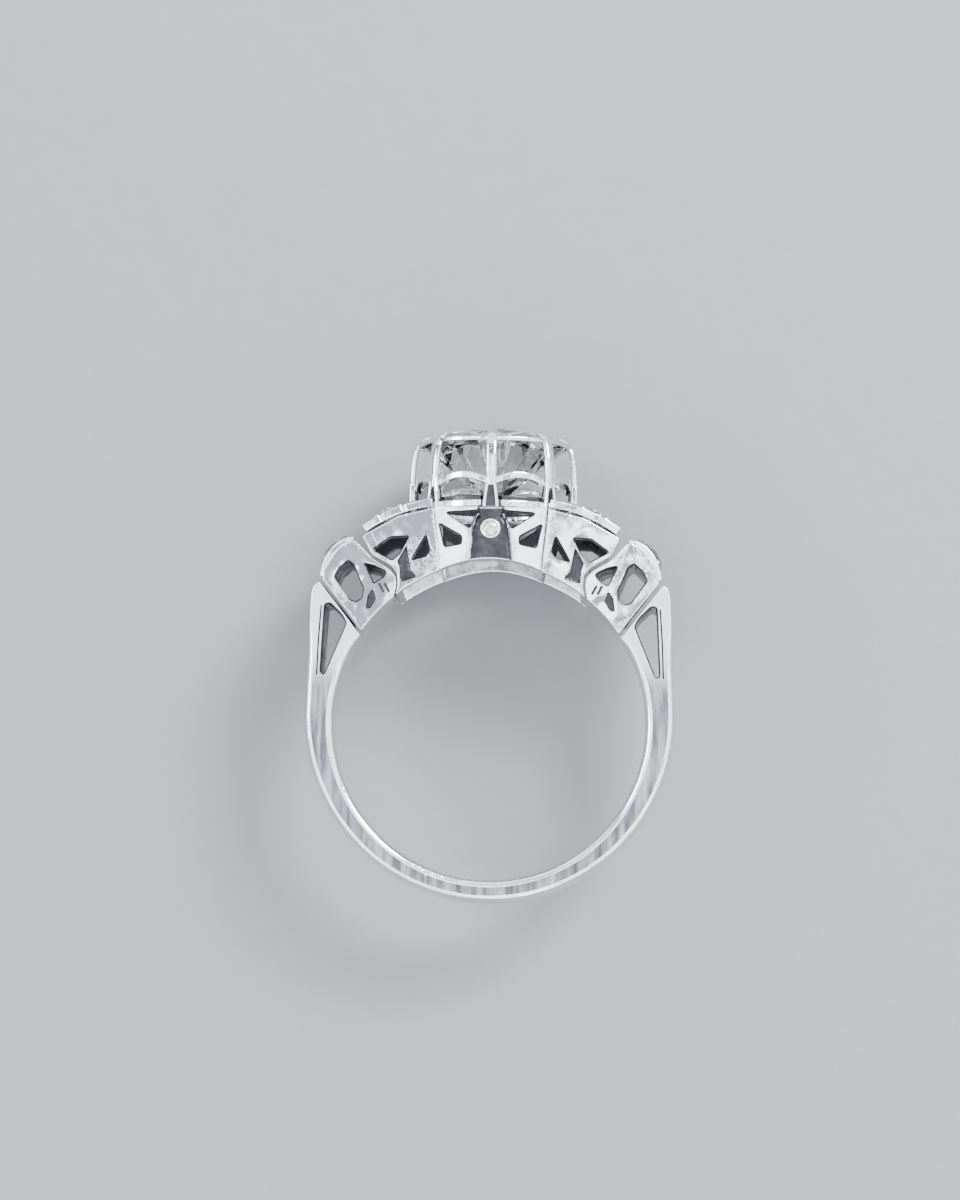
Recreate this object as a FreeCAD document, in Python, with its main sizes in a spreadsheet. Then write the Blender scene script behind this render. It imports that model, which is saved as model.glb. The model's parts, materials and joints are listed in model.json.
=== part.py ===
import FreeCAD, Part
import os

import Sketcher

# An engagement ring with a round centre stone in eight claws, a pierced gallery
# and three stepped shoulders on each side of the finger hole.
#
# Frame: the origin is the centre of the finger hole, Y is the axis of the hole
# (the finger), Z points up through the centre stone, X across the shoulders.
# Every length is in millimetres.

NODE_FOLDER = "parts"

os.makedirs(NODE_FOLDER, exist_ok=True)
doc = FreeCAD.newDocument("engagement_ring")

# ---------------------------------------------------------------- dimensions

DIMENSIONS = {
    # band
    "bore_radius": 8.45,
    "band_outer_radius": 9.99,
    "band_outer_rise": 0.4,
    "blank_depth": 12.0,
    # half widths along the finger, used by the plan and side tapers
    "box_half_depth": 3.45,
    "box_wall": 0.65,
    "box_wall_slack": 0.35,
    "frame_half_depth": 2.75,
    "fork_half_depth": 2.15,
    # centre head
    "head_radius": 4.6,
    "head_space_radius": 4.62,
    "head_space_height": 6.0,
    "rail_outer_radius": 4.22,
    "rail_inner_radius": 3.9,
    "base_rail_low": 11.5,
    "base_rail_height": 0.6,
    "scallop_low": 12.1,
    "scallop_height": 1.6,
    "scallop_center": 11.57,
    "scallop_inner_radius": 1.5,
    "scallop_outer_radius": 1.85,
    "girdle_rail_low": 15.09,
    "girdle_rail_height": 0.22,
    "girdle_rail_inner_radius": 3.95,
    "claw_count": 8,
    "claw_width": 0.66,
    # stones: girdle radius of each kind, and where the centre stone stands
    "center_stone_radius": 3.95,
    "center_stone_girdle": 15.18,
    "side_stone_radius": 0.95,
    "corner_stone_radius": 0.88,
    "accent_stone_radius": 0.42,
    "frame_stone_radius": 0.95,
    "bezel_stone_radius": 0.4,
    "bezel_stone_sink": 0.12,
    "seat_drill_length": 2.0,
    # bezels on the gallery
    "bezel_radius": 0.54,
    "bezel_length": 0.95,
    "bezel_face": 4.22,
    "bezel_height": 10.3,
    "grain_radius": 0.16,
}

# Straight-edged outlines seen along the finger, as corners (across, up), on the
# right-hand side of the ring.  The left-hand side mirrors them.
OUTLINES = {
    "arm": [(8.0, 0.4), (9.99, 0.4), (9.72, 6.9), (9.6, 7.3), (9.3, 7.55), (7.0, 4.66)],
    "fork_window": [(8.95, 2.6), (9.18, 2.65), (8.95, 6.3), (8.65, 6.3), (7.8, 5.3)],
    "frame": [
        (7.02, 4.95), (9.12, 7.65), (9.05, 8.4), (8.78, 8.95), (8.3, 9.5), (7.65, 9.9),
        (7.3, 9.75), (6.44, 8.79), (5.45, 8.18), (5.14, 7.82), (5.07, 7.35), (5.25, 6.3),
    ],
    "frame_window": [
        (7.8, 8.68), (8.3, 8.28), (8.45, 7.75), (7.55, 6.5), (7.25, 6.42), (6.95, 6.62),
        (6.88, 7.1), (7.42, 8.4),
    ],
    "frame_notch": [(6.82, 8.48), (6.3, 8.34), (5.68, 8.02), (5.78, 7.76), (6.32, 7.42)],
    "box": [
        (3.05, 11.5), (5.0, 11.05), (6.85, 10.05), (6.95, 9.9), (6.42, 8.95), (5.36, 8.32),
        (5.02, 7.9), (4.95, 7.35), (5.1, 6.5), (2.7, 7.6),
    ],
    "box_plate": [(3.05, 11.5), (3.05, 11.98), (5.2, 11.5), (6.98, 10.52), (6.85, 10.05), (5.0, 11.05)],
    "box_cavity": [(2.0, 11.8), (3.2, 11.8), (6.4, 10.6), (6.35, 9.9), (5.9, 9.1), (4.2, 7.0), (2.0, 7.0)],
    "box_small_window": [(3.3, 9.15), (3.5, 9.95), (4.25, 8.65), (3.5, 8.85)],
    "box_large_window": [(4.45, 9.9), (5.4, 9.85), (6.45, 9.15), (5.32, 8.66), (4.9, 9.02)],
    "gallery": [(-3.05, 11.5), (3.05, 11.5), (2.7, 7.6), (-2.7, 7.6)],
    "gallery_triangle": [(0.72, 11.25), (2.35, 11.1), (1.17, 10.38)],
    "gallery_drop": [(2.8, 10.55), (1.58, 9.85), (1.62, 9.5), (2.42, 9.34)],
    "above_forks": [(-7.0, 4.66), (7.0, 4.66), (9.3, 7.55), (9.3, 12.0), (-9.3, 12.0), (-9.3, 7.55)],
    # a claw seen from its side: (out from the head's axis, up)
    "claw": [
        (4.22, 11.5), (4.6, 11.5), (4.6, 13.9), (4.53, 14.6), (4.38, 15.15), (4.1, 15.52),
        (3.5, 15.72), (3.46, 15.58), (4.0, 15.38), (4.22, 15.05),
    ],
    # slit between the two feet of a claw, seen from the front
    "claw_slit": [(-0.2, 11.4), (0.2, 11.4), (0.0, 12.95)],
    # half widths of the band and forks, seen from the side: (along the finger, up)
    "band_taper": [(2.15, 7.8), (1.4, 0.0), (1.0, -9.8), (4.5, -9.8), (4.5, 7.8)],
    # plan tapers: (across, along the finger)
    "box_taper": [(2.0, 3.45), (3.05, 3.45), (7.2, 3.0), (7.2, 5.0), (2.0, 5.0)],
    "frame_taper": [(6.2, 2.75), (9.4, 2.4), (9.4, 5.0), (6.2, 5.0)],
    # the gallery plates lean outwards: (along the finger, up)
    "gallery_outer_lean": [(3.45, 6.5), (4.25, 11.7), (6.5, 11.7), (6.5, 6.5)],
    "gallery_inner_lean": [(-6.0, 6.5), (2.85, 6.5), (3.6, 11.7), (-6.0, 11.7)],
}

sheet = doc.addObject("Spreadsheet::Sheet", "Dimensions")


def write_dimensions():
    """Fill the sheet: one alias per dimension, and two per corner of every outline."""
    rows = list(DIMENSIONS.items())
    for name, corners in OUTLINES.items():
        for number, (first, second) in enumerate(corners, 1):
            rows.append((f"{name}_corner{number}_first", first))
            rows.append((f"{name}_corner{number}_second", second))
    for row, (alias, value) in enumerate(rows, 1):
        sheet.set(f"A{row}", alias)
        sheet.set(f"B{row}", str(value))
        sheet.setAlias(f"B{row}", alias)
    doc.recompute()


write_dimensions()


def size(alias):
    """A driving dimension as the sheet gives it."""
    return float(sheet.get(alias))


# -------------------------------------------------------------- small helpers

nodes = []


def keep(item, label):
    """Name a finished sub-part and list it for writing."""
    item.Label = label
    nodes.append(item)
    return item


def origin_plane(body, role):
    """The body's own base plane with that role."""
    return next(f for f in body.Origin.OriginFeatures if f.Role == role)


def new_sketch(body, role, offset=None):
    """An empty sketch on one of the body's base planes, moved along the plane's normal."""
    sketch = body.newObject("Sketcher::SketchObject", f"{body.Name}_sketch")
    sketch.AttachmentSupport = [(origin_plane(body, role), "")]
    sketch.MapMode = "FlatFace"
    if offset:
        sketch.setExpression("AttachmentOffset.Base.z", offset)
    return sketch


def draw_outline(sketch, name, first_sign=1, second_sign=1):
    """Draw a closed outline and bind each corner to the sheet."""
    corners = [FreeCAD.Vector(first_sign * a, second_sign * b, 0) for a, b in OUTLINES[name]]
    count = len(corners)
    lines = []
    for number in range(count):
        segment = Part.LineSegment(corners[number], corners[(number + 1) % count])
        lines.append(sketch.addGeometry(segment, False))
    for number, line in enumerate(lines):
        following = lines[(number + 1) % count]
        sketch.addConstraint(Sketcher.Constraint("Coincident", line, 2, following, 1))
    for number, line in enumerate(lines):
        places = (("DistanceX", first_sign, "first"), ("DistanceY", second_sign, "second"))
        for kind, sign, part in places:
            corner = corners[number]
            value = corner.x if kind == "DistanceX" else corner.y
            index = sketch.addConstraint(Sketcher.Constraint(kind, line, 1, value))
            alias = f"{name}_corner{number + 1}_{part}"
            sketch.setExpression(f"Constraints[{index}]", f"{sign} * Dimensions.{alias}")


def draw_circle(sketch, radius, rise=None):
    """Draw a circle on the vertical axis of the sketch, bound to the sheet."""
    height = size(rise) if rise else 0.0
    center = FreeCAD.Vector(0, height, 0)
    circle = sketch.addGeometry(Part.Circle(center, FreeCAD.Vector(0, 0, 1), size(radius)), False)
    index = sketch.addConstraint(Sketcher.Constraint("Radius", circle, size(radius)))
    sketch.setExpression(f"Constraints[{index}]", f"Dimensions.{radius}")
    sketch.addConstraint(Sketcher.Constraint("DistanceX", circle, 3, 0.0))
    index = sketch.addConstraint(Sketcher.Constraint("DistanceY", circle, 3, height))
    if rise:
        sketch.setExpression(f"Constraints[{index}]", f"Dimensions.{rise}")


def pad(body, sketch, length, symmetric=True):
    """Grow the sketch along its normal, both ways or one way."""
    feature = body.newObject("PartDesign::Pad", f"{body.Name}_pad")
    feature.Profile = sketch
    feature.setExpression("Length", length)
    feature.SideType = "Symmetric" if symmetric else "One side"
    doc.recompute()
    return feature


def pocket(body, sketch, length="2 * Dimensions.blank_depth"):
    """Cut the sketch out of the body, both ways along its normal."""
    before = body.Shape.Volume
    feature = body.newObject("PartDesign::Pocket", f"{body.Name}_pocket")
    feature.Profile = sketch
    feature.setExpression("Length", length)
    feature.SideType = "Symmetric"
    doc.recompute()
    if body.Shape.Volume >= before:
        raise RuntimeError(f"{body.Name}: a pocket removed nothing")
    return feature


def cut_outlines(body, role, names, signs, length="2 * Dimensions.blank_depth"):
    """Pocket several outlines in one sketch, once per pair of signs."""
    sketch = new_sketch(body, role)
    for name in names:
        for first_sign, second_sign in signs:
            draw_outline(sketch, name, first_sign, second_sign)
    pocket(body, sketch, length)


def cut_bore(body):
    """Pocket the finger hole."""
    sketch = new_sketch(body, "XZ_Plane")
    draw_circle(sketch, "bore_radius")
    pocket(body, sketch)


BOTH = ((1, 1), (-1, 1))
SIDES = (("left", -1), ("right", 1))
FACES = (("front", -1), ("back", 1))


def placed(x, y, z, tilt=0.0):
    """A placement at a point, leaning by tilt degrees from +Z towards +X."""
    turn = FreeCAD.Rotation(FreeCAD.Vector(0, 1, 0), tilt)
    return FreeCAD.Placement(FreeCAD.Vector(x, y, z), turn)


# ---------------------------------------------------------------------- stones

CROWN_SHARE = 0.17
TABLE_SHARE = 0.52
GIRDLE_SHARE = 0.03
PAVILION_SHARE = 0.84
DRILL_SHARE = 0.8


def bound_cone(name, low, high, height, radius):
    """A cone between two shares of the stone's radius, as high as a share of it."""
    cone = doc.addObject("Part::Cone", name)
    cone.setExpression("Radius1", f"{low} * Dimensions.{radius}")
    cone.setExpression("Radius2", f"{high} * Dimensions.{radius}")
    cone.setExpression("Height", f"{height} * Dimensions.{radius}")
    return cone


def brilliant(label, radius, placement):
    """A round stone: crown, thin girdle and pavilion, with its girdle's foot at the placement."""
    pavilion = bound_cone(f"{label}_pavilion", 0.02, 1, PAVILION_SHARE, radius)
    pavilion.setExpression("Placement.Base.z", f"-{PAVILION_SHARE} * Dimensions.{radius}")
    girdle = doc.addObject("Part::Cylinder", f"{label}_girdle")
    girdle.setExpression("Radius", f"Dimensions.{radius}")
    girdle.setExpression("Height", f"{GIRDLE_SHARE} * Dimensions.{radius}")
    crown = bound_cone(f"{label}_crown", 1, TABLE_SHARE, CROWN_SHARE, radius)
    crown.setExpression("Placement.Base.z", f"{GIRDLE_SHARE} * Dimensions.{radius}")
    stone = doc.addObject("Part::MultiFuse", f"{label}_stone")
    stone.Shapes = [pavilion, girdle, crown]
    stone.Placement = placement
    doc.recompute()
    return stone


def seat_drill(label, radius, placement):
    """The drill that opens the metal under a stone's seat."""
    drill = doc.addObject("Part::Cylinder", f"{label}_drill")
    drill.setExpression("Radius", f"{DRILL_SHARE} * Dimensions.{radius}")
    drill.setExpression("Height", "Dimensions.seat_drill_length")
    foot = FreeCAD.Vector(0, 0, -size("seat_drill_length"))
    drill.Placement = placement.multiply(FreeCAD.Placement(foot, FreeCAD.Rotation()))
    return drill


def set_stones(metal, label, stones, radii):
    """Cut the stones' seats out of a piece of metal and keep the result."""
    tools = []
    for stone, radius in zip(stones, radii):
        seat = doc.addObject("Part::MultiFuse", f"{stone.Name}_seat")
        seat.Shapes = [stone, seat_drill(stone.Name, radius, stone.Placement)]
        tools.append(seat)
    seats = doc.addObject("Part::Compound", f"{label}_seats")
    seats.Links = tools
    result = doc.addObject("Part::Cut", f"{label}_set")
    result.Base = metal
    result.Tool = seats
    doc.recompute()
    return keep(result, label)


def grains(label, places):
    """Beads of metal pushed over the stones' edges, as one group of small balls."""
    balls = []
    for number, place in enumerate(places, 1):
        ball = doc.addObject("Part::Sphere", f"{label}_{number}")
        ball.setExpression("Radius", "Dimensions.grain_radius")
        ball.Placement = place
        balls.append(ball)
    group = doc.addObject("Part::Compound", f"{label}_group")
    group.Links = balls
    return keep(group, label)


# ----------------------------------------------------------------- the shank


def build_shank():
    """The band with its two forks, which narrows towards the back of the finger."""
    body = doc.addObject("PartDesign::Body", "shank_body")
    width = "4 * Dimensions.fork_half_depth"
    ring = new_sketch(body, "XZ_Plane")
    draw_circle(ring, "band_outer_radius", "band_outer_rise")
    pad(body, ring, width)
    arms = new_sketch(body, "XZ_Plane")
    for first_sign, second_sign in BOTH:
        draw_outline(arms, "arm", first_sign, second_sign)
    pad(body, arms, width)
    cut_bore(body)
    cut_outlines(body, "XZ_Plane", ["above_forks"], [(1, 1)])
    cut_outlines(body, "XZ_Plane", ["fork_window"], BOTH)
    cut_outlines(body, "YZ_Plane", ["band_taper"], BOTH)
    keep(body, "shank")


# ------------------------------------------------------------ stepped shoulders

# Where stones stand on the right-hand side: across, (along the finger,) up, and the lean
# of their axis from vertical in degrees.
FRAME_SETTING = (8.42, 9.27, 47.0)
FRAME_STONE_APART = 1.12
SIDE_SETTING = (5.8, 11.17, 25.0)
CORNER_SETTING = (5.46, 2.1, 11.35, 21.0)
ACCENT_SETTING = (4.25, 2.72, 11.71, 12.6)

# Where grains stand about the middle of a setting: across, along the finger, lift.
FRAME_GRAINS = ((-0.72, 1.84, 0.02), (0.72, 1.84, 0.02), (-0.5, 0.0, 0.02), (0.5, 0.0, 0.02))
BOX_GRAINS = ((0.78, 0.98, 0.0), (-0.62, 0.98, 0.0), (0.5, 2.9, 0.02), (-1.15, 3.0, -0.08))


def around(middle, sign, offsets):
    """Places of grains about a setting, the same to the front and to the back of its middle."""
    spots = []
    for across, along, lift in offsets:
        for towards in (-1, 1) if along else (1,):
            corner = FreeCAD.Vector(sign * across, towards * along, lift)
            spots.append(middle.multiply(FreeCAD.Placement(corner, FreeCAD.Rotation())))
    return spots


def build_frame(side, sign):
    """The second step: an open frame under two small stones set side by side."""
    body = doc.addObject("PartDesign::Body", f"frame_body_{side}")
    outline = new_sketch(body, "XZ_Plane")
    draw_outline(outline, "frame", sign)
    pad(body, outline, "2 * Dimensions.frame_half_depth")
    cut_outlines(body, "XZ_Plane", ["frame_window", "frame_notch"], [(sign, 1)])
    cut_bore(body)
    cut_outlines(body, "XY_Plane", ["frame_taper"], [(sign, 1), (sign, -1)])
    across, height, lean = FRAME_SETTING
    stones = []
    for face, towards in FACES:
        label = f"frame_stone_{side}_{face}"
        where = placed(sign * across, towards * FRAME_STONE_APART, height, sign * lean)
        stones.append(keep(brilliant(label, "frame_stone_radius", where), label))
    middle = placed(sign * across, 0, height, sign * lean)
    grains(f"frame_grains_{side}", around(middle, sign, FRAME_GRAINS))
    set_stones(body, f"step_frame_{side}", stones, ["frame_stone_radius"] * 2)


def build_box(side, sign):
    """The first step: pierced front and back walls joined by an end wall."""
    body = doc.addObject("PartDesign::Body", f"box_body_{side}")
    outline = new_sketch(body, "XZ_Plane")
    draw_outline(outline, "box", sign)
    pad(body, outline, "2 * Dimensions.box_half_depth")
    inside = "2 * (Dimensions.box_half_depth - Dimensions.box_wall - Dimensions.box_wall_slack)"
    cut_outlines(body, "XZ_Plane", ["box_cavity"], [(sign, 1)], inside)
    cut_outlines(body, "XZ_Plane", ["box_small_window", "box_large_window"], [(sign, 1)])
    cut_bore(body)
    cut_outlines(body, "XY_Plane", ["box_taper"], [(sign, 1), (sign, -1)])
    keep(body, f"side_box_{side}")


def build_box_plate(side, sign):
    """The setting plate on the first step, with five stones that hug the head."""
    body = doc.addObject("PartDesign::Body", f"plate_body_{side}")
    outline = new_sketch(body, "XZ_Plane")
    draw_outline(outline, "box_plate", sign)
    pad(body, outline, "2 * Dimensions.box_half_depth")
    cut_outlines(body, "XY_Plane", ["box_taper"], [(sign, 1), (sign, -1)])
    notched = doc.addObject("Part::Cut", f"plate_notched_{side}")
    notched.Base = body
    notched.Tool = head_space(f"plate_notch_{side}")
    across, height, lean = SIDE_SETTING
    middle = placed(sign * across, 0, height, sign * lean)
    kinds = [("side_stone_radius", f"side_stone_{side}", middle)]
    for face, towards in FACES:
        for kind, (across, along, height, lean) in (("corner", CORNER_SETTING), ("accent", ACCENT_SETTING)):
            where = placed(sign * across, towards * along, height, sign * lean)
            kinds.append((f"{kind}_stone_radius", f"{kind}_stone_{side}_{face}", where))
    stones = []
    for radius, label, where in kinds:
        stones.append(keep(brilliant(label, radius, where), label))
    grains(f"box_grains_{side}", around(middle, sign, BOX_GRAINS))
    set_stones(notched, f"box_plate_{side}", stones, [kind[0] for kind in kinds])


def head_space(label):
    """The cylinder that the head fills, from the foot of its base rail upwards."""
    space = doc.addObject("Part::Cylinder", label)
    space.setExpression("Radius", "Dimensions.head_space_radius")
    space.setExpression("Height", "Dimensions.head_space_height")
    space.setExpression("Placement.Base.z", "Dimensions.base_rail_low")
    return space


# ------------------------------------------------------------------- gallery


def build_gallery(face, towards):
    """A pierced gallery plate that leans outwards, with a small stone in a tube bezel."""
    body = doc.addObject("PartDesign::Body", f"gallery_body_{face}")
    outline = new_sketch(body, "XZ_Plane")
    draw_outline(outline, "gallery")
    pad(body, outline, "2 * Dimensions.head_radius")
    for lean in ("gallery_outer_lean", "gallery_inner_lean"):
        cut_outlines(body, "YZ_Plane", [lean], [(towards, 1)])
    cut_outlines(body, "XZ_Plane", ["gallery_triangle", "gallery_drop"], BOTH)
    cut_bore(body)
    facing = FreeCAD.Rotation(FreeCAD.Vector(1, 0, 0), -90.0 * towards)
    height = size("bezel_height")
    face_y = size("bezel_face")
    foot = FreeCAD.Placement(FreeCAD.Vector(0, towards * (face_y - size("bezel_length")), height), facing)
    tube = doc.addObject("Part::Cylinder", f"bezel_tube_{face}")
    tube.setExpression("Radius", "Dimensions.bezel_radius")
    tube.setExpression("Height", "Dimensions.bezel_length")
    tube.Placement = foot
    pierced = doc.addObject("Part::Cut", f"gallery_pierced_{face}")
    pierced.Base = body
    pierced.Tool = tube
    doc.recompute()
    keep(pierced, f"gallery_plate_{face}")
    label = f"bezel_stone_{face}"
    stone_y = face_y - size("bezel_stone_sink")
    where = FreeCAD.Placement(FreeCAD.Vector(0, towards * stone_y, height), facing)
    stone = keep(brilliant(label, "bezel_stone_radius", where), label)
    set_stones(tube, f"bezel_{face}", [stone], ["bezel_stone_radius"])


# ---------------------------------------------------------------------- head


def rail(label, low, height, inner="rail_inner_radius"):
    """A plain round rail of the head: a tube about the vertical axis."""
    parts = []
    for name, radius in (("outer", "rail_outer_radius"), ("inner", inner)):
        wall = doc.addObject("Part::Cylinder", f"{label}_{name}")
        wall.setExpression("Radius", f"Dimensions.{radius}")
        wall.setExpression("Height", f"Dimensions.{height}")
        wall.setExpression("Placement.Base.z", f"Dimensions.{low}")
        parts.append(wall)
    tube = doc.addObject("Part::Cut", f"{label}_tube")
    tube.Base, tube.Tool = parts
    doc.recompute()
    return tube


def radial_bars(label, radius):
    """Level round bars through the axis of the head, one for every two gaps between claws."""
    bars = []
    count = int(size("claw_count"))
    reach = 2 * size("head_radius")
    for number in range(count // 2):
        bearing = (number + 0.5) * 360.0 / count
        turn = FreeCAD.Rotation(FreeCAD.Vector(0, 0, 1), bearing)
        lying = turn.multiply(FreeCAD.Rotation(FreeCAD.Vector(0, 1, 0), 90.0))
        bar = doc.addObject("Part::Cylinder", f"{label}_{number + 1}")
        bar.setExpression("Radius", f"Dimensions.{radius}")
        bar.Height = reach
        middle = FreeCAD.Vector(0, 0, size("scallop_center"))
        start = middle.sub(lying.multVec(FreeCAD.Vector(0, 0, reach / 2)))
        bar.Placement = FreeCAD.Placement(start, lying)
        bars.append(bar)
    group = doc.addObject("Part::MultiFuse", f"{label}_group")
    group.Shapes = bars
    return group


def build_scalloped_rail():
    """The middle rail of the head, which rises in an arch between every two claws."""
    tube = rail("scallop", "scallop_low", "scallop_height")
    arches = doc.addObject("Part::Cut", "arches")
    arches.Base = radial_bars("arch_outside", "scallop_outer_radius")
    arches.Tool = radial_bars("arch_inside", "scallop_inner_radius")
    scallops = doc.addObject("Part::MultiCommon", "scallops")
    scallops.Shapes = [tube, arches]
    doc.recompute()
    keep(scallops, "scalloped_rail")


def build_claw(number):
    """A flat claw that bends over the girdle, with a slit between its two feet."""
    body = doc.addObject("PartDesign::Body", f"claw_body_{number}")
    outline = new_sketch(body, "XZ_Plane")
    draw_outline(outline, "claw")
    pad(body, outline, "Dimensions.claw_width")
    cut_outlines(body, "YZ_Plane", ["claw_slit"], [(1, 1)])
    turn = (number - 1) * 360.0 / size("claw_count") - 90.0
    body.Placement = FreeCAD.Placement(FreeCAD.Vector(), FreeCAD.Rotation(FreeCAD.Vector(0, 0, 1), turn))
    keep(body, f"claw_{number}")


def build_head():
    """Base rail, scalloped rail, girdle rail, claws and centre stone."""
    keep(rail("base", "base_rail_low", "base_rail_height"), "base_rail")
    build_scalloped_rail()
    girdle = rail("girdle", "girdle_rail_low", "girdle_rail_height", "girdle_rail_inner_radius")
    keep(girdle, "girdle_rail")
    for number in range(1, int(size("claw_count")) + 1):
        build_claw(number)
    where = placed(0, 0, size("center_stone_girdle"))
    keep(brilliant("center_stone", "center_stone_radius", where), "center_stone")


# ------------------------------------------------------------ build and write


def check_document():
    """Stop if any object failed, or if a sub-part is empty or not valid."""
    for item in doc.Objects:
        if "Invalid" in item.State or "Error" in item.State:
            raise RuntimeError(f"{item.Name} failed: {item.State}")
    for node in nodes:
        if node.Shape.isNull() or not node.Shape.isValid() or node.Shape.Volume <= 0:
            raise RuntimeError(f"{node.Label} has no valid shape")


def write_nodes():
    """Write every sub-part to its own STEP file."""
    for node in nodes:
        node.Shape.exportStep(os.path.join(NODE_FOLDER, f"{node.Label}.step"))
        box = node.Shape.BoundBox
        print(f"{node.Label}: {len(node.Shape.Solids)} solids, {node.Shape.Volume:.2f} mm3, top {box.ZMax:.2f}")


build_shank()
for side, sign in SIDES:
    build_frame(side, sign)
    build_box(side, sign)
    build_box_plate(side, sign)
for face, towards in FACES:
    build_gallery(face, towards)
build_head()
doc.recompute()
check_document()
write_nodes()
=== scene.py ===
import json
import math

import bpy
import numpy as np
from bpy.props import FloatProperty, FloatVectorProperty, IntProperty, PointerProperty
from mathutils import Matrix, Vector
from mathutils.geometry import delaunay_2d_cdt


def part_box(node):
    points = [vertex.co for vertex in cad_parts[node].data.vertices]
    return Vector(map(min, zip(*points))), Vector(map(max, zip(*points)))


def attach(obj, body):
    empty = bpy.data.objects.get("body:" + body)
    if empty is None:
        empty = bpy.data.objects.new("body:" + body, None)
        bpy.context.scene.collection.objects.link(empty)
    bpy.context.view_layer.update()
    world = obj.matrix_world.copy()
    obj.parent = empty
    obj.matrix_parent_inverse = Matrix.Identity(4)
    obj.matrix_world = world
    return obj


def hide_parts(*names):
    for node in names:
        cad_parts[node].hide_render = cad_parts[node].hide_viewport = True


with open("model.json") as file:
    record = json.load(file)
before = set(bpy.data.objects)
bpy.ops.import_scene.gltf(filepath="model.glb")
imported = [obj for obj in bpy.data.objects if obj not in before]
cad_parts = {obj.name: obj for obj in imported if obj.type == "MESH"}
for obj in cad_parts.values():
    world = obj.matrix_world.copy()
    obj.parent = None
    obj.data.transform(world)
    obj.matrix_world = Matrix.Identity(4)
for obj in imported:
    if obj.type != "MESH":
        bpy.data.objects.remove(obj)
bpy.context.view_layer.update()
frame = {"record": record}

bl_info = {
    "name": "Stepped Shoulder Ring",
    "version": (1, 0, 0),
    "blender": (4, 5, 0),
    "location": "View3D > Sidebar > Ring",
    "description": "Builds the fine surfaces, stones and finishes of an engagement ring",
    "category": "Add Mesh",
}

# The ring stands with the finger along Y and the centre stone up Z; the origin is the
# centre of the finger hole. Shapes are worked out in millimetres and stored in metres.

MM = 0.001
SIDES = (("left", -1), ("right", 1))
FACES = (("front", -1), ("back", 1))
MOUNTS = {mount["name"]: mount for mount in frame["record"]["mounts"]}
BORE = MOUNTS["finger_bore"]["dims"]["r_mm"]


def span(node, axis):
    """Lowest and highest coordinate of a CAD node along one axis, in millimetres."""
    low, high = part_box(node)
    return low[axis] / MM, high[axis] / MM


HEAD_RADIUS = span("claw_3", 0)[1]
RAIL_RADIUS = span("base_rail", 0)[1]
BASE_LOW, BASE_HIGH = span("base_rail", 2)
GIRDLE_LOW, GIRDLE_HIGH = span("girdle_rail", 2)
SCALLOP_TOP = span("scalloped_rail", 2)[1]
CLAW_TOP = span("claw_1", 2)[1]
STONE_RADIUS = span("center_stone", 0)[1]
STONE_TOP = span("center_stone", 2)[1]
BEZEL_RADIUS = span("bezel_front", 0)[1]
BEZEL_FACE = span("bezel_back", 1)[1]
BEZEL_HEIGHT = sum(span("bezel_front", 2)) / 2
BAND_LOW = span("shank", 2)[0]
BAND_SIDE = span("shank", 0)[1]


# ------------------------------------------------------------------ settings


class RingSizes(bpy.types.PropertyGroup):
    """Sizes that a jeweller would change without changing the frame."""

    edge_roll: FloatProperty(
        name="Edge roll",
        description="Radius of the polished roll along the edges of the pierced plates",
        default=0.00008,
        min=0.00001,
        unit="LENGTH",
        subtype="DISTANCE",
    )
    band_inner_roll: FloatProperty(
        name="Band inner roll",
        description="Radius of the comfort edge round the finger hole",
        default=0.00038,
        unit="LENGTH",
        subtype="DISTANCE",
    )
    band_outer_roll: FloatProperty(
        name="Band outer roll",
        description="Radius of the outer edges of the band",
        default=0.0003,
        unit="LENGTH",
        subtype="DISTANCE",
    )
    band_crown: FloatProperty(
        name="Band crown",
        description="How far the outside of the band swells between its edges",
        default=0.00012,
        unit="LENGTH",
        subtype="DISTANCE",
    )
    claw_width: FloatProperty(
        name="Claw width",
        description="Width of each claw of the head",
        default=0.00062,
        unit="LENGTH",
        subtype="DISTANCE",
    )
    claw_count: IntProperty(
        name="Claws", description="Number of claws round the head", default=8, min=3
    )
    bead_radius: FloatProperty(
        name="Bead radius",
        description="Radius of the grains that hold the shoulder stones",
        default=0.00015,
        unit="LENGTH",
        subtype="DISTANCE",
    )


class RingFinish(bpy.types.PropertyGroup):
    """Colours and polish of the metal and the stones."""

    metal_color: FloatVectorProperty(
        name="Metal colour",
        description="Colour of the polished white metal",
        default=(0.86, 0.865, 0.88),
        min=0.0,
        max=1.0,
        subtype="COLOR",
    )
    satin_color: FloatVectorProperty(
        name="Satin colour",
        description="Colour of the brushed side faces of the band",
        default=(0.085, 0.085, 0.092),
        min=0.0,
        max=1.0,
        subtype="COLOR",
    )
    # Painted shade: the recess colour is a near-black metal colour, far darker than the real metal, put on
    # hollows where shade falls.
    recess_shade_color: FloatVectorProperty(
        name="Recess colour",
        description="Colour of the unpolished and shade-painted walls of windows and pockets",
        default=(0.055, 0.054, 0.06),
        min=0.0,
        max=1.0,
        subtype="COLOR",
    )
    stone_color: FloatVectorProperty(
        name="Stone colour",
        description="Body colour of the diamonds",
        default=(0.985, 0.99, 0.985),
        min=0.0,
        max=1.0,
        subtype="COLOR",
    )
    stone_index: FloatProperty(
        name="Stone index",
        description="Refractive index of the stones",
        default=2.417,
        min=1.0,
    )


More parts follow.
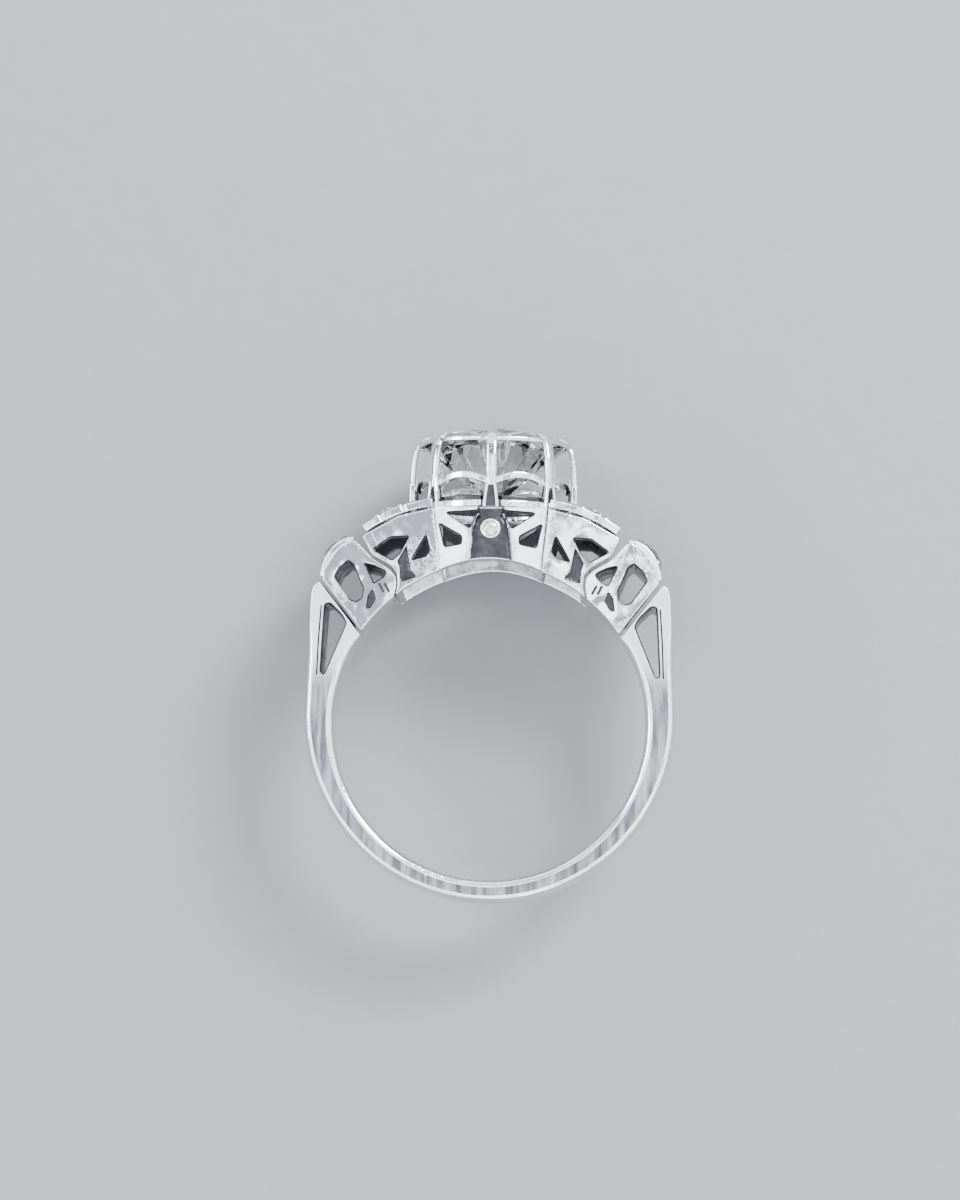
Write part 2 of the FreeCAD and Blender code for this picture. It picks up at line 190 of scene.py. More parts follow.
class RingStage(bpy.types.PropertyGroup):
    """The plain surface's colour and the camera."""

    floor_color: FloatVectorProperty(
        name="Floor colour",
        description="Colour of the pale surface",
        default=(0.2, 0.202, 0.202),
        min=0.0,
        max=1.0,
        subtype="COLOR",
    )
    azimuth: FloatProperty(
        name="Azimuth",
        description="How far to the right of the finger axis the camera stands",
        default=math.radians(2.0),
        unit="ROTATION",
        subtype="ANGLE",
    )
    elevation: FloatProperty(
        name="Elevation",
        description="How far above the finger axis the camera stands",
        default=math.radians(-5.5),
        unit="ROTATION",
        subtype="ANGLE",
    )
    roll: FloatProperty(
        name="Roll",
        description="How far the ring leans to the right in the view",
        default=math.radians(0.9),
        unit="ROTATION",
        subtype="ANGLE",
    )
    distance: FloatProperty(
        name="Distance",
        description="From the camera to the middle of the finger hole",
        default=0.25,
        unit="LENGTH",
        subtype="DISTANCE",
    )


# ----------------------------------------------------------- meshes from arrays


def area_normals(points, faces):
    """Normal of each vertex: the sum of its faces' area vectors, made unit length."""
    total = np.zeros_like(points)
    for block in faces:
        corners = points[block]
        if block.shape[1] == 3:
            area = np.cross(corners[:, 1] - corners[:, 0], corners[:, 2] - corners[:, 0])
        else:
            area = np.cross(corners[:, 2] - corners[:, 0], corners[:, 3] - corners[:, 1])
        for column in range(block.shape[1]):
            np.add.at(total, block[:, column], area)
    length = np.linalg.norm(total, axis=1, keepdims=True)
    return total / np.maximum(length, 1e-12)


def signed_volume(points, faces):
    """Six times the volume inside the faces, negative if they face inwards."""
    total = 0.0
    for block in faces:
        for last in range(2, block.shape[1]):
            corners = points[block[:, [0, last - 1, last]]]
            total += np.einsum("ij,ij->i", corners[:, 0], np.cross(corners[:, 1], corners[:, 2])).sum()
    return total


def join(parts):
    """Put several (points, face blocks, slots) together as one."""
    points, blocks, slots, base = [], [], [], 0
    for part_points, part_faces, part_slots in parts:
        if signed_volume(part_points, part_faces) < 0:
            part_faces = [block[:, ::-1] for block in part_faces]
        points.append(part_points)
        blocks.extend(block + base for block in part_faces)
        slots.extend(part_slots)
        base += len(part_points)
    return np.vstack(points), blocks, slots


def make_object(name, shape, materials, faceted=False):
    """Make a mesh object from points in millimetres, face blocks and a slot for each block."""
    points, faces, slots = shape
    mesh = bpy.data.meshes.new(name)
    mesh.from_pydata((points * MM).tolist(), [], [face for block in faces for face in block.tolist()])
    for material in materials:
        mesh.materials.append(material)
    index = np.concatenate([np.full(len(block), slot) for block, slot in zip(faces, slots)])
    mesh.polygons.foreach_set("material_index", index.astype(np.int32))
    mesh.polygons.foreach_set("use_smooth", np.full(len(index), not faceted))
    if not faceted:
        mesh.normals_split_custom_set_from_vertices(area_normals(points, faces))
    mesh.update()
    piece = bpy.data.objects.new(name, mesh)
    bpy.context.scene.collection.objects.link(piece)
    return piece


def finish_piece(name, node, shape, materials, faceted=False):
    """Make a piece that stands for a CAD node: hang it on the root body and hide the node."""
    piece = make_object(name, shape, materials, faceted)
    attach(piece, "root")
    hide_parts(node)
    return piece


def grid_faces(rows, columns, wrap_rows):
    """Quads between neighbouring rows and columns of a grid whose columns wrap round."""
    row = np.arange(rows if wrap_rows else rows - 1)[:, None]
    column = np.arange(columns)[None, :]
    following_row = (row + 1) % rows
    following = (column + 1) % columns
    quads = [row * columns + column, row * columns + following]
    quads += [following_row * columns + following, following_row * columns + column]
    return np.stack(np.broadcast_arrays(*quads), axis=-1).reshape(-1, 4)


def skin(grid, wrap_rows=False, slot=0):
    """Closed skin over rows of section points; open rows end in a pole at their mean."""
    rows, columns, _ = grid.shape
    points = grid.reshape(-1, 3)
    faces = [grid_faces(rows, columns, wrap_rows)]
    if not wrap_rows:
        poles = np.array([grid[0].mean(axis=0), grid[-1].mean(axis=0)])
        column = np.arange(columns)
        following = (column + 1) % columns
        top = np.full(columns, rows * columns)
        last = (rows - 1) * columns
        faces.append(np.column_stack([following, column, top]))
        faces.append(np.column_stack([last + column, last + following, top + 1]))
        points = np.vstack([points, poles])
    return points, faces, [slot] * len(faces)


# --------------------------------------------------------------- flat outlines


def evenly(corners, step):
    """Points at equal steps of length round a closed outline."""
    ring = np.vstack([corners, corners[:1]])
    walked = np.concatenate([[0.0], np.cumsum(np.hypot(*np.diff(ring, axis=0).T))])
    count = max(16, int(round(walked[-1] / step)))
    at = np.arange(count) * walked[-1] / count
    return np.column_stack([np.interp(at, walked, ring[:, 0]), np.interp(at, walked, ring[:, 1])])


def soften(loop, radius):
    """Round a loop's corners: each point becomes the Gaussian-weighted mean of the loop about it."""
    count = len(loop)
    step = np.hypot(*(loop[1] - loop[0]))
    gap = np.minimum(np.arange(count), count - np.arange(count)) * step
    weight = np.exp(-0.5 * (gap / radius) ** 2)
    weight = np.fft.fft(weight / weight.sum())[:, None]
    return np.real(np.fft.ifft(np.fft.fft(loop, axis=0) * weight, axis=0))


def outline(corners, radius, step, clockwise=False):
    """Even, softened loop that runs anticlockwise, or clockwise for a hole."""
    loop = soften(evenly(np.asarray(corners, float), step), radius)
    following = np.roll(loop, -1, axis=0)
    area = (loop[:, 0] * following[:, 1] - following[:, 0] * loop[:, 1]).sum()
    if (area < 0) != clockwise:
        loop = loop[::-1]
    return loop


def inward(loop):
    """Unit normals to the left of the loop's travel, which point into the metal."""
    tangent = np.roll(loop, -1, axis=0) - np.roll(loop, 1, axis=0)
    tangent /= np.maximum(np.hypot(*tangent.T)[:, None], 1e-9)
    return np.column_stack([-tangent[:, 1], tangent[:, 0]])


ROLL_SHARE = 0.45
ROLL_REACH = range(-3, 4)


def fitting_roll(loop, radius):
    """Shrink a roll where the outline bends too tightly for it, so that its rim never crosses itself.

    The roll is at most a share of the bend's radius, over the points on both sides too.
    """
    ahead, behind = np.roll(loop, -1, axis=0) - loop, loop - np.roll(loop, 1, axis=0)
    step = np.hypot(*ahead.T)
    bend = (behind[:, 0] * ahead[:, 1] - behind[:, 1] * ahead[:, 0]) / np.maximum(step, 1e-9) ** 3
    fitting = np.minimum(radius, ROLL_SHARE / np.maximum(bend, 1e-3))
    lowest = np.min([np.roll(fitting, shift) for shift in ROLL_REACH], axis=0)
    return np.mean([np.roll(lowest, shift) for shift in ROLL_REACH], axis=0)


def inside(points, loops):
    """True for points that an odd number of crossings puts inside the loops."""
    result = np.zeros(len(points), bool)
    for loop in loops:
        following = np.roll(loop, -1, axis=0)
        a, b = points[:, 0][:, None], points[:, 1][:, None]
        straddles = (loop[:, 1] > b) != (following[:, 1] > b)
        rise = following[:, 1] - loop[:, 1]
        rise = np.where(np.abs(rise) < 1e-12, 1e-12, rise)
        crossing = loop[:, 0] + (b - loop[:, 1]) / rise * (following[:, 0] - loop[:, 0])
        result ^= ((straddles & (a < crossing)).sum(axis=1) % 2).astype(bool)
    return result


SLIVER = 1e-4
GRID_BATCH = 500
RIM_CLEARANCE = 0.55


def regions(triangles, walls):
    """Number the areas that edges in walls part: neighbours take the lower number until none changes."""
    edges = np.sort(np.vstack([triangles[:, [0, 1]], triangles[:, [1, 2]], triangles[:, [2, 0]]]), axis=1)
    owner = np.tile(np.arange(len(triangles)), 3)
    size = edges.max() + 1
    keys = edges[:, 0] * size + edges[:, 1]
    wall_keys = np.sort(walls, axis=1) @ np.array([size, 1])
    order = np.argsort(keys, kind="stable")
    keys, owner = keys[order], owner[order]
    shared = (keys[1:] == keys[:-1]) & ~np.isin(keys[1:], wall_keys)
    first, second = owner[:-1][shared], owner[1:][shared]
    number = np.arange(len(triangles))
    while True:
        lower = np.minimum(number[first], number[second])
        following = number.copy()
        np.minimum.at(following, first, lower)
        np.minimum.at(following, second, lower)
        following = following[following]
        if (following == number).all():
            return number
        number = following


def cap(loops, spacing):
    """Anticlockwise triangles over the area between loops, with inner points to carry relief.

    Triangles are kept or dropped by whole regions, by the side on which most of their area
    lies, because the side of one thin triangle along a straight edge can't be told.
    """
    rim = np.vstack(loops)
    low, high = rim.min(axis=0), rim.max(axis=0)
    across = np.arange(low[0] + spacing / 2, high[0], spacing)
    up = np.arange(low[1] + spacing / 2, high[1], spacing)
    grid = np.stack(np.meshgrid(across, up), axis=-1).reshape(-1, 2)
    grid = grid[inside(grid, loops)]
    clear = np.ones(len(grid), bool)
    for start in range(0, len(grid), GRID_BATCH):
        batch = slice(start, start + GRID_BATCH)
        gap = grid[batch, None, :] - rim[None, :, :]
        clear[batch] = np.hypot(gap[..., 0], gap[..., 1]).min(axis=1) > RIM_CLEARANCE * spacing
    points = np.vstack([rim, grid[clear]])
    edges, base = [], 0
    for loop in loops:
        index = np.arange(len(loop))
        edges.append(np.column_stack([index, np.roll(index, -1)]) + base)
        base += len(loop)
    edges = np.vstack(edges)
    result = delaunay_2d_cdt([Vector(p) for p in points.tolist()], edges.tolist(), [], 0, 1e-7)
    points = np.array([tuple(p) for p in result[0]])
    triangles = np.array(result[2])
    corners = points[triangles]
    first, second = corners[:, 1] - corners[:, 0], corners[:, 2] - corners[:, 0]
    area = np.abs(first[:, 0] * second[:, 1] - first[:, 1] * second[:, 0])
    number = regions(triangles, edges)
    weight = np.where(inside(corners.mean(axis=1), loops), area, -area)
    kept = np.bincount(number, weights=weight, minlength=len(triangles))[number] > SLIVER
    return points, triangles[kept]


# ------------------------------------------------------------- rolled-edge slabs

ROLL_TURN = np.linspace(0.0, math.pi / 2, 6)
# RECESS and HOLLOW faces take materials that paint shade: near-black walls of holes and pockets,
# undersides and inner faces.
POLISHED, FACE, RECESS, HOLLOW = 0, 1, 2, 3


class Slab:
    """Plate with rolled edges, from flat outlines.

    Two flat faces are joined round every outline by a quarter-round roll, a wall and
    another roll. At angle t a roll stands radius x (1 - sin t) in from the outline and
    radius x (1 - cos t) below its face. place(across, up, face, depth) puts a point that
    is depth below face +1 or -1 into space. A blind pocket has a roll and a wall down to
    a floor. Each block of faces takes one of the slots POLISHED, FACE, RECESS and HOLLOW.
    """

    def __init__(self, place, roll, corner=0.05, step=0.08, spacing=0.35):
        self.place, self.roll = place, roll
        self.corner, self.step, self.spacing = corner, step, spacing
        self.points, self.faces, self.slots, self.count = [], [], [], 0
        self.rims = {1: [], -1: []}

    def add_points(self, grid):
        """Store points and return the index of the first."""
        base = self.count
        self.points.append(grid.reshape(-1, 3))
        self.count += grid.reshape(-1, 3).shape[0]
        return base

    def add_faces(self, block, slot):
        """Store a block of faces that share a slot."""
        self.faces.append(block)
        self.slots.append(slot)

    def rolled(self, loop, radius, face):
        """Rows of points down a quarter-round roll from one face."""
        normal = inward(loop)
        rows = []
        for angle in ROLL_TURN:
            at = loop + normal * (radius * (1 - math.sin(angle)))[:, None]
            rows.append(self.place(at[:, 0], at[:, 1], face, radius * (1 - math.cos(angle))))
        return rows

    def through(self, corners, hole=False, crown=None, slot=POLISHED):
        """Cut or bound the plate along an outline; crown swells the wall by crown x (1 - s squared)."""
        loop = outline(corners, self.corner, self.step, clockwise=hole)
        radius = self.roll(loop) if callable(self.roll) else np.full(len(loop), self.roll)
        radius = fitting_roll(loop, radius)
        upper, lower = self.rolled(loop, radius, 1), self.rolled(loop, radius, -1)
        swell = crown(loop) if crown else np.zeros(len(loop))
        middle = []
        for share in np.linspace(0.0, 1.0, 7)[1:-1]:
            at = loop - inward(loop) * (swell * (1 - (2 * share - 1) ** 2))[:, None]
            high = self.place(at[:, 0], at[:, 1], 1, radius)
            low = self.place(at[:, 0], at[:, 1], -1, radius)
            middle.append(high * (1 - share) + low * share)
        grid = np.stack(upper + middle + lower[::-1])
        base = self.add_points(grid)
        self.add_faces(grid_faces(len(grid), len(loop), False)[:, ::-1] + base, slot)
        inset = loop + inward(loop) * radius[:, None]
        index = np.arange(len(loop))
        self.rims[1].append((inset, base + index))
        self.rims[-1].append((inset, base + (len(grid) - 1) * len(loop) + index))

    def pocket(self, corners, depth, faces=(1,), radius=0.03):
        """Sink a blind pocket with a flat floor into one face or both; its walls and floor take the RECESS
        slot's painted shade.
        """
        loop = outline(corners, self.corner / 2, self.step / 2, clockwise=True)
        radius = fitting_roll(loop, np.full(len(loop), radius))
        for face in faces:
            rows = self.rolled(loop, radius, face)
            for share in (0.35, 0.7, 1.0):
                rows.append(self.place(loop[:, 0], loop[:, 1], face, radius + (depth - radius) * share))
            grid = np.stack(rows)
            base = self.add_points(grid)
            walls = grid_faces(len(grid), len(loop), False) + base
            self.add_faces(walls[:, ::-1] if face > 0 else walls, RECESS)
            index = base + np.arange(len(loop))
            self.rims[face].append((loop + inward(loop) * radius[:, None], index))
            floor = [(loop[::-1], (index + (len(grid) - 1) * len(loop))[::-1])]
            self.cover(floor, face, depth, RECESS)

    def cover(self, rims, face, depth, slot, recess=None):
        """Close the area between loops with triangles at a depth below a face; triangles where recess is
        true take the RECESS slot's painted shade.
        """
        flat, triangles = cap([loop for loop, _ in rims], self.spacing)
        known = sum(len(loop) for loop, _ in rims)
        extra = flat[known:]
        base = self.add_points(self.place(extra[:, 0], extra[:, 1], face, np.full(len(extra), depth)))
        index = np.concatenate([number for _, number in rims] + [base + np.arange(len(extra))])
        middle = flat[triangles].mean(axis=1)
        block = index[triangles] if face > 0 else index[triangles][:, ::-1]
        dark = recess(middle[:, 0], middle[:, 1]) if recess else np.zeros(len(block), bool)
        for part, part_slot in ((block[~dark], slot), (block[dark], RECESS)):
            if len(part):
                self.add_faces(part, part_slot)

    def finish(self, top=POLISHED, bottom=POLISHED, recess=None):
        """Cover both faces and return the shape."""
        self.cover(self.rims[1], 1, 0.0, top, recess)
        self.cover(self.rims[-1], -1, 0.0, bottom, recess if bottom == top else None)
        return np.vstack(self.points), self.faces, self.slots


def seen_along_finger(outer, inner, direction):
    """Placement for plates seen along the finger: face +1 is outer(x, z), face -1 is inner(x, z)."""

    def place(across, up, face, depth):
        depth_y = outer(across, up) - depth if face > 0 else inner(across, up) + depth
        return np.column_stack([across, direction * depth_y, up])

    return place


def through(half):
    """Placement for pieces that run from front to back: both faces stand half(x, z) off the middle."""
    return seen_along_finger(half, lambda across, up: -half(across, up), 1)


def mirrored(corners, sign):
    """The same outline on the left or right of the ring."""
    return [(sign * across, up) for across, up in corners]


# ------------------------------------------------------------------ node groups


def new_group(name, inputs, outputs):
    """An empty shader node group with float inputs (name, default) and named outputs."""
    group = bpy.data.node_groups.new(name, "ShaderNodeTree")
    for label, default in inputs:
        socket = group.interface.new_socket(label, in_out="INPUT", socket_type="NodeSocketFloat")
        socket.default_value = default
    for label in outputs:
        group.interface.new_socket(label, in_out="OUTPUT", socket_type="NodeSocketFloat")
    return group, group.nodes.new("NodeGroupInput"), group.nodes.new("NodeGroupOutput")


def node(tree, kind, inputs=None, **settings):
    """Add a node, set its properties, and set or link its inputs."""
    item = tree.nodes.new(kind)
    for key, value in settings.items():
        setattr(item, key, value)
    for key, value in (inputs or {}).items():
        if isinstance(value, bpy.types.NodeSocket):
            tree.links.new(value, item.inputs[key])
        else:
            item.inputs[key].default_value = value
    return item


def ramp(tree, value, low, high):
    """A smooth step from 0 at low to 1 at high."""
    return node(
        tree,
        "ShaderNodeMapRange",
        {"Value": value, "From Min": low, "From Max": high},
        interpolation_type="SMOOTHSTEP",
    ).outputs["Result"]


def math_node(tree, operation, first, second):
    """One arithmetic step on two values."""
    item = node(tree, "ShaderNodeMath", {0: first, 1: second}, operation=operation)
    return item.outputs[0]


def falling(tree, value, low, high):
    """A smooth step from 1 at low to 0 at high."""
    return math_node(tree, "SUBTRACT", 1.0, ramp(tree, value, low, high))


def scratches_group():
    """Fine hairlines in three directions: thin bands where stretched noise crosses its middle."""
    group, entry, leave = new_group(
        "Hairline scratches", [("Density", 900.0), ("Amount", 1.0)], ["Height", "Mask"]
    )
    place = node(group, "ShaderNodeTexCoord").outputs["Object"]
    total = None
    for turn, stretch in (((0.3, 0.9, 0.2), 0.05), ((1.2, 0.1, 1.9), 0.035), ((2.1, 2.4, 0.7), 0.06)):
        turned = node(
            group, "ShaderNodeMapping", {"Vector": place, "Rotation": turn, "Scale": (1.0, stretch, 1.0)}
        )
        noise = node(
            group,
            "ShaderNodeTexNoise",
            {"Vector": turned.outputs[0], "Scale": entry.outputs["Density"], "Detail": 2.0},
        )
        offset = math_node(group, "ABSOLUTE", math_node(group, "SUBTRACT", noise.outputs[0], 0.5), 0.0)
        line = math_node(group, "SUBTRACT", 1.0, ramp(group, offset, 0.0, 0.012))
        total = line if total is None else math_node(group, "MAXIMUM", total, line)
    patch = node(group, "ShaderNodeTexNoise", {"Vector": place, "Scale": 420.0, "Detail": 3.0})
    total = math_node(group, "MULTIPLY", total, ramp(group, patch.outputs[0], 0.42, 0.62))
    scaled = math_node(group, "MULTIPLY", total, entry.outputs["Amount"])
    group.links.new(scaled, leave.inputs["Mask"])
    group.links.new(math_node(group, "MULTIPLY", scaled, -1.0), leave.inputs["Height"])
    return group


def hand_polish_group():
    """Soft waves and faint smears that a polishing wheel and handling leave on bright metal."""
    group, entry, leave = new_group("Hand polish", [("Size", 500.0)], ["Waves", "Smears"])
    place = node(group, "ShaderNodeTexCoord").outputs["Object"]
    waves = node(
        group,
        "ShaderNodeTexNoise",
        {"Vector": place, "Scale": entry.outputs["Size"], "Detail": 1.5, "Roughness": 0.4},
    )
    smears = node(
        group,
        "ShaderNodeTexNoise",
        {"Vector": place, "Scale": 1600.0, "Detail": 5.0, "Roughness": 0.62},
    )
    group.links.new(waves.outputs[0], leave.inputs["Waves"])
    group.links.new(ramp(group, smears.outputs[0], 0.35, 0.7), leave.inputs["Smears"])
    return group


def brushed_group():
    """Short crossing strokes of an abrasive stick: noise stretched along three directions."""
    group, entry, leave = new_group("Brushed strokes", [("Density", 2600.0)], ["Height", "Tone"])
    place = node(group, "ShaderNodeTexCoord").outputs["Object"]
    total = None
    for turn in ((0.0, 0.55, 0.0), (0.0, -0.75, 0.0), (0.0, 1.7, 0.0)):
        turned = node(
            group, "ShaderNodeMapping", {"Vector": place, "Rotation": turn, "Scale": (1.0, 1.0, 0.12)}
        )
        noise = node(
            group,
            "ShaderNodeTexNoise",
            {"Vector": turned.outputs[0], "Scale": entry.outputs["Density"], "Detail": 4.0},
        )
        total = noise.outputs[0] if total is None else math_node(group, "ADD", total, noise.outputs[0])
    mean = math_node(group, "DIVIDE", total, 3.0)
    group.links.new(mean, leave.inputs["Height"])
    group.links.new(ramp(group, mean, 0.38, 0.62), leave.inputs["Tone"])
    return group


# -------------------------------------------------------------------- materials


def start_material(name):
    """A new material, with its node tree and its Principled shader."""
    material = bpy.data.materials.new(name)
    material.use_nodes = True
    tree = material.node_tree
    shader = tree.nodes["Principled BSDF"]
    return material, tree, shader


def use_group(tree, group, inputs=None):
    """Place a shared group in a material with its own values."""
    item = tree.nodes.new("ShaderNodeGroup")
    item.node_tree = group
    for key, value in (inputs or {}).items():
        item.inputs[key].default_value = value
    return item


def mix_color(tree, factor, first, second):
    """Colour that turns from first to second with the factor."""
    item = node(tree, "ShaderNodeMix", data_type="RGBA")
    tree.links.new(factor, item.inputs["Factor"])
    item.inputs[6].default_value = (*first, 1.0)
    item.inputs[7].default_value = (*second, 1.0)
    return item.outputs[2]


def bump(tree, shader, layers):
    """Chain Bump nodes, one for each (height, distance), into the shader's normal."""
    normal = None
    for height, distance in layers:
        item = node(tree, "ShaderNodeBump", {"Strength": 1.0, "Distance": distance, "Height": height})
        if normal is not None:
            tree.links.new(normal, item.inputs["Normal"])
        normal = item.outputs["Normal"]
    tree.links.new(normal, shader.inputs["Normal"])


def roughness(tree, shader, value, low, high):
    """Let the roughness go from low to high as the value goes from 0 to 1."""
    rough = node(tree, "ShaderNodeMapRange", {"Value": value, "To Min": low, "To Max": high})
    tree.links.new(rough.outputs[0], shader.inputs["Roughness"])


def metal_material(name, groups, color, dull, low, high, wave_height, scratch_height):
    """Polished white metal: waves of hand polish, hairlines, and smears that dull it a little."""
    material, tree, shader = start_material(name)
    shader.inputs["Metallic"].default_value = 1.0
    polish = use_group(tree, groups["polish"])
    lines = use_group(tree, groups["scratches"], {"Amount": 1.0})
    worn = math_node(tree, "MAXIMUM", polish.outputs["Smears"], lines.outputs["Mask"])
    tree.links.new(mix_color(tree, worn, color, dull), shader.inputs["Base Color"])
    roughness(tree, shader, worn, low, high)
    bump(tree, shader, [(polish.outputs["Waves"], wave_height), (lines.outputs["Height"], scratch_height)])
    return material


def grainy_material(name, groups, color):
    """Grainy metal as cast, in the colour it is given, which here is the recess colour's painted shade.
    Returns its tone too.
    """
    material, tree, shader = start_material(name)
    shader.inputs["Metallic"].default_value = 1.0
    polish = use_group(tree, groups["polish"])
    dark = tuple(channel * 0.6 for channel in color)
    tone = mix_color(tree, polish.outputs["Smears"], color, dark)
    tree.links.new(tone, shader.inputs["Base Color"])
    roughness(tree, shader, polish.outputs["Smears"], 0.2, 0.42)
    bump(tree, shader, [(polish.outputs["Waves"], 0.00005), (polish.outputs["Smears"], 0.000006)])
    return material, tree, shader, tone


def hollow_material(groups, color, polished):
    """Inner walls: grainy, in the recess colour's painted shade, which gives way to the bright metal
    colour within about a millimetre of the finger hole.
    """
    material, tree, shader, tone = grainy_material("hollow inside with painted shade", groups, color)
    place = node(tree, "ShaderNodeTexCoord").outputs["Object"]
    across = node(tree, "ShaderNodeVectorMath", {0: place, 1: (1.0, 0.0, 1.0)}, operation="MULTIPLY")
    radius = node(tree, "ShaderNodeVectorMath", {0: across.outputs[0]}, operation="LENGTH")
    near_finger_hole = falling(tree, radius.outputs["Value"], (BORE + 0.7) * MM, (BORE + 1.1) * MM)
    mixed = node(tree, "ShaderNodeMix", {6: tone, 7: (*polished, 1.0)}, data_type="RGBA")
    tree.links.new(near_finger_hole, mixed.inputs["Factor"])
    tree.links.new(mixed.outputs[2], shader.inputs["Base Color"])
    return material


def satin_material(groups, color):
    """Side faces of the band: fine crossing strokes that leave a grey, silky surface."""
    material, tree, shader = start_material("satin white metal")
    shader.inputs["Metallic"].default_value = 1.0
    strokes = use_group(tree, groups["brushed"])
    lines = use_group(tree, groups["scratches"], {"Amount": 1.0, "Density": 600.0})
    bright = tuple(min(1.0, channel * 7.5) for channel in color)
    place = node(tree, "ShaderNodeSeparateXYZ", {0: node(tree, "ShaderNodeTexCoord").outputs["Object"]})
    forks = ramp(tree, place.outputs["Z"], 0.001, 0.004)
    tone = math_node(tree, "MAXIMUM", math_node(tree, "MULTIPLY", strokes.outputs["Tone"], 0.42), forks)
    tree.links.new(mix_color(tree, tone, color, bright), shader.inputs["Base Color"])
    roughness(tree, shader, strokes.outputs["Tone"], 0.36, 0.2)
    bump(tree, shader, [(strokes.outputs["Height"], 0.00003), (lines.outputs["Height"], 0.000006)])
    return material


def diamond_material(name, color, index, low, high):
    """Clear faceted stone with a breath of smear on its faces."""
    material, tree, shader = start_material(name)
    shader.inputs["Base Color"].default_value = (*color, 1.0)
    shader.inputs["Transmission Weight"].default_value = 1.0
    shader.inputs["IOR"].default_value = index
    smear = node(
        tree,
        "ShaderNodeTexNoise",
        {"Vector": node(tree, "ShaderNodeTexCoord").outputs["Object"], "Scale": 900.0, "Detail": 4.0},
    )
    mask = ramp(tree, smear.outputs[0], 0.55, 0.8)
    roughness(tree, shader, mask, low, high)
    return material


MATERIALS = {}


def build_materials():
    """Make every material once."""
    finish = bpy.context.scene.ring_finish
    groups = {
        "scratches": scratches_group(),
        "polish": hand_polish_group(),
        "brushed": brushed_group(),
    }
    bright = tuple(finish.metal_color)
    dull = tuple(channel * 0.86 for channel in bright)
    MATERIALS["bright"] = metal_material(
        "bright white metal", groups, bright, dull, 0.035, 0.12, 0.0001, 0.000002
    )
    MATERIALS["worn"] = metal_material(
        "worn white metal", groups, bright, dull, 0.06, 0.2, 0.00008, 0.000004
    )
    MATERIALS["satin"] = satin_material(groups, tuple(finish.satin_color))
    # The recess and hollow materials carry the recess colour's painted shade.
    dark = tuple(finish.recess_shade_color)
    MATERIALS["recess"] = grainy_material("unpolished and shade-painted recess", groups, dark)[0]
    MATERIALS["hollow"] = hollow_material(groups, dark, bright)
    MATERIALS["diamond"] = diamond_material(
        "diamond", tuple(finish.stone_color), finish.stone_index, 0.0, 0.01
    )
    MATERIALS["girdle"] = diamond_material(
        "bruted girdle", tuple(finish.stone_color), finish.stone_index, 0.25, 0.4
    )


# ------------------------------------------------------------------- the shank

FORK_WINDOW = [(8.98, 2.55), (9.16, 2.62), (8.96, 6.3), (8.7, 6.36), (8.08, 5.75), (7.82, 5.3)]
FORK_TIP = [(9.72, 6.8), (9.62, 7.3), (9.3, 7.55)]
BAND_RISE = 0.4
FORK_FOOT = math.radians(33.7)
FORK_TOP = 7.6
FORK_DEPTH, BACK_DEPTH = 2.15, 1.0
DEPTH_CURVE = 1.6


def half_band(across, up):
    """Half width of the band: a smooth fall from the forks to the back of the finger."""
    share = np.clip((up - BAND_LOW) / (FORK_TOP - BAND_LOW), 0.0, 1.0)
    return BACK_DEPTH + (FORK_DEPTH - BACK_DEPTH) * share ** DEPTH_CURVE


def shank_outline():
    """C-shaped side view: outer arc, fork tips, and the finger hole's arc back again."""
    turn = np.linspace(math.pi, 2 * math.pi, 200)
    outer = np.column_stack([BAND_SIDE * np.cos(turn), BAND_RISE + BAND_SIDE * np.sin(turn)])
    bore = np.linspace(FORK_FOOT, -math.pi - FORK_FOOT, 240)
    inner = np.column_stack([BORE * np.cos(bore), BORE * np.sin(bore)])
    right = np.array(FORK_TIP)
    left = np.array(mirrored(FORK_TIP, -1))[::-1]
    return np.vstack([outer, right, inner, left])


def band_roll(loop):
    """Wide rolls round the finger hole and the outside, narrow ones at the forks' windows."""
    sizes = bpy.context.scene.ring_sizes
    radius = np.hypot(loop[:, 0], loop[:, 1])
    inner, outer = sizes.band_inner_roll / MM, sizes.band_outer_roll / MM
    if abs(loop[:, 0].mean()) > BORE / 2:
        return np.full(len(loop), sizes.edge_roll / MM)
    near_bore = np.clip((BORE + 0.5 - radius) / 0.4, 0.0, 1.0)
    roll = outer + (inner - outer) * near_bore
    forks = np.clip((loop[:, 1] - 4.2) / 1.5, 0.0, 1.0)
    return roll * (1 - 0.8 * forks)


def band_crown(loop):
    """The outside of the band swells by the crown setting, and the finger side hardly at all."""
    sizes = bpy.context.scene.ring_sizes
    radius = np.hypot(loop[:, 0], loop[:, 1])
    return sizes.band_crown / MM * np.clip((radius - BORE - 0.3) / 0.4, 0.0, 1.0)


# ------------------------------------------------------------ stepped shoulders

FRAME_SIDE = [
    (7.02, 4.93), (9.12, 7.65), (9.06, 8.2), (8.74, 8.84), (8.22, 9.38), (7.62, 9.76), (7.3, 9.72),
    (6.44, 8.79), (5.46, 8.2), (5.15, 7.84), (5.07, 7.35), (5.2, 6.68),
]
FRAME_FOOT = (math.atan2(6.68, 5.2), math.atan2(4.93, 7.02))
FRAME_WINDOW = [
    (7.72, 8.62), (8.2, 8.2), (8.42, 7.72), (7.55, 6.52), (7.25, 6.42), (6.95, 6.62), (6.88, 7.1),
    (7.42, 8.4),
]
FRAME_NOTCH = [(6.82, 8.46), (6.3, 8.34), (5.68, 8.02), (5.78, 7.76), (6.32, 7.42)]
FRAME_FLUTES = (5.42, 5.72)
FLUTE_DEPTH, HOLLOW_DEPTH = 0.07, 0.12
FRAME_HOLLOW = [(6.36, 7.05), (6.6, 6.7), (6.68, 6.05), (6.45, 6.1), (6.2, 6.55)]
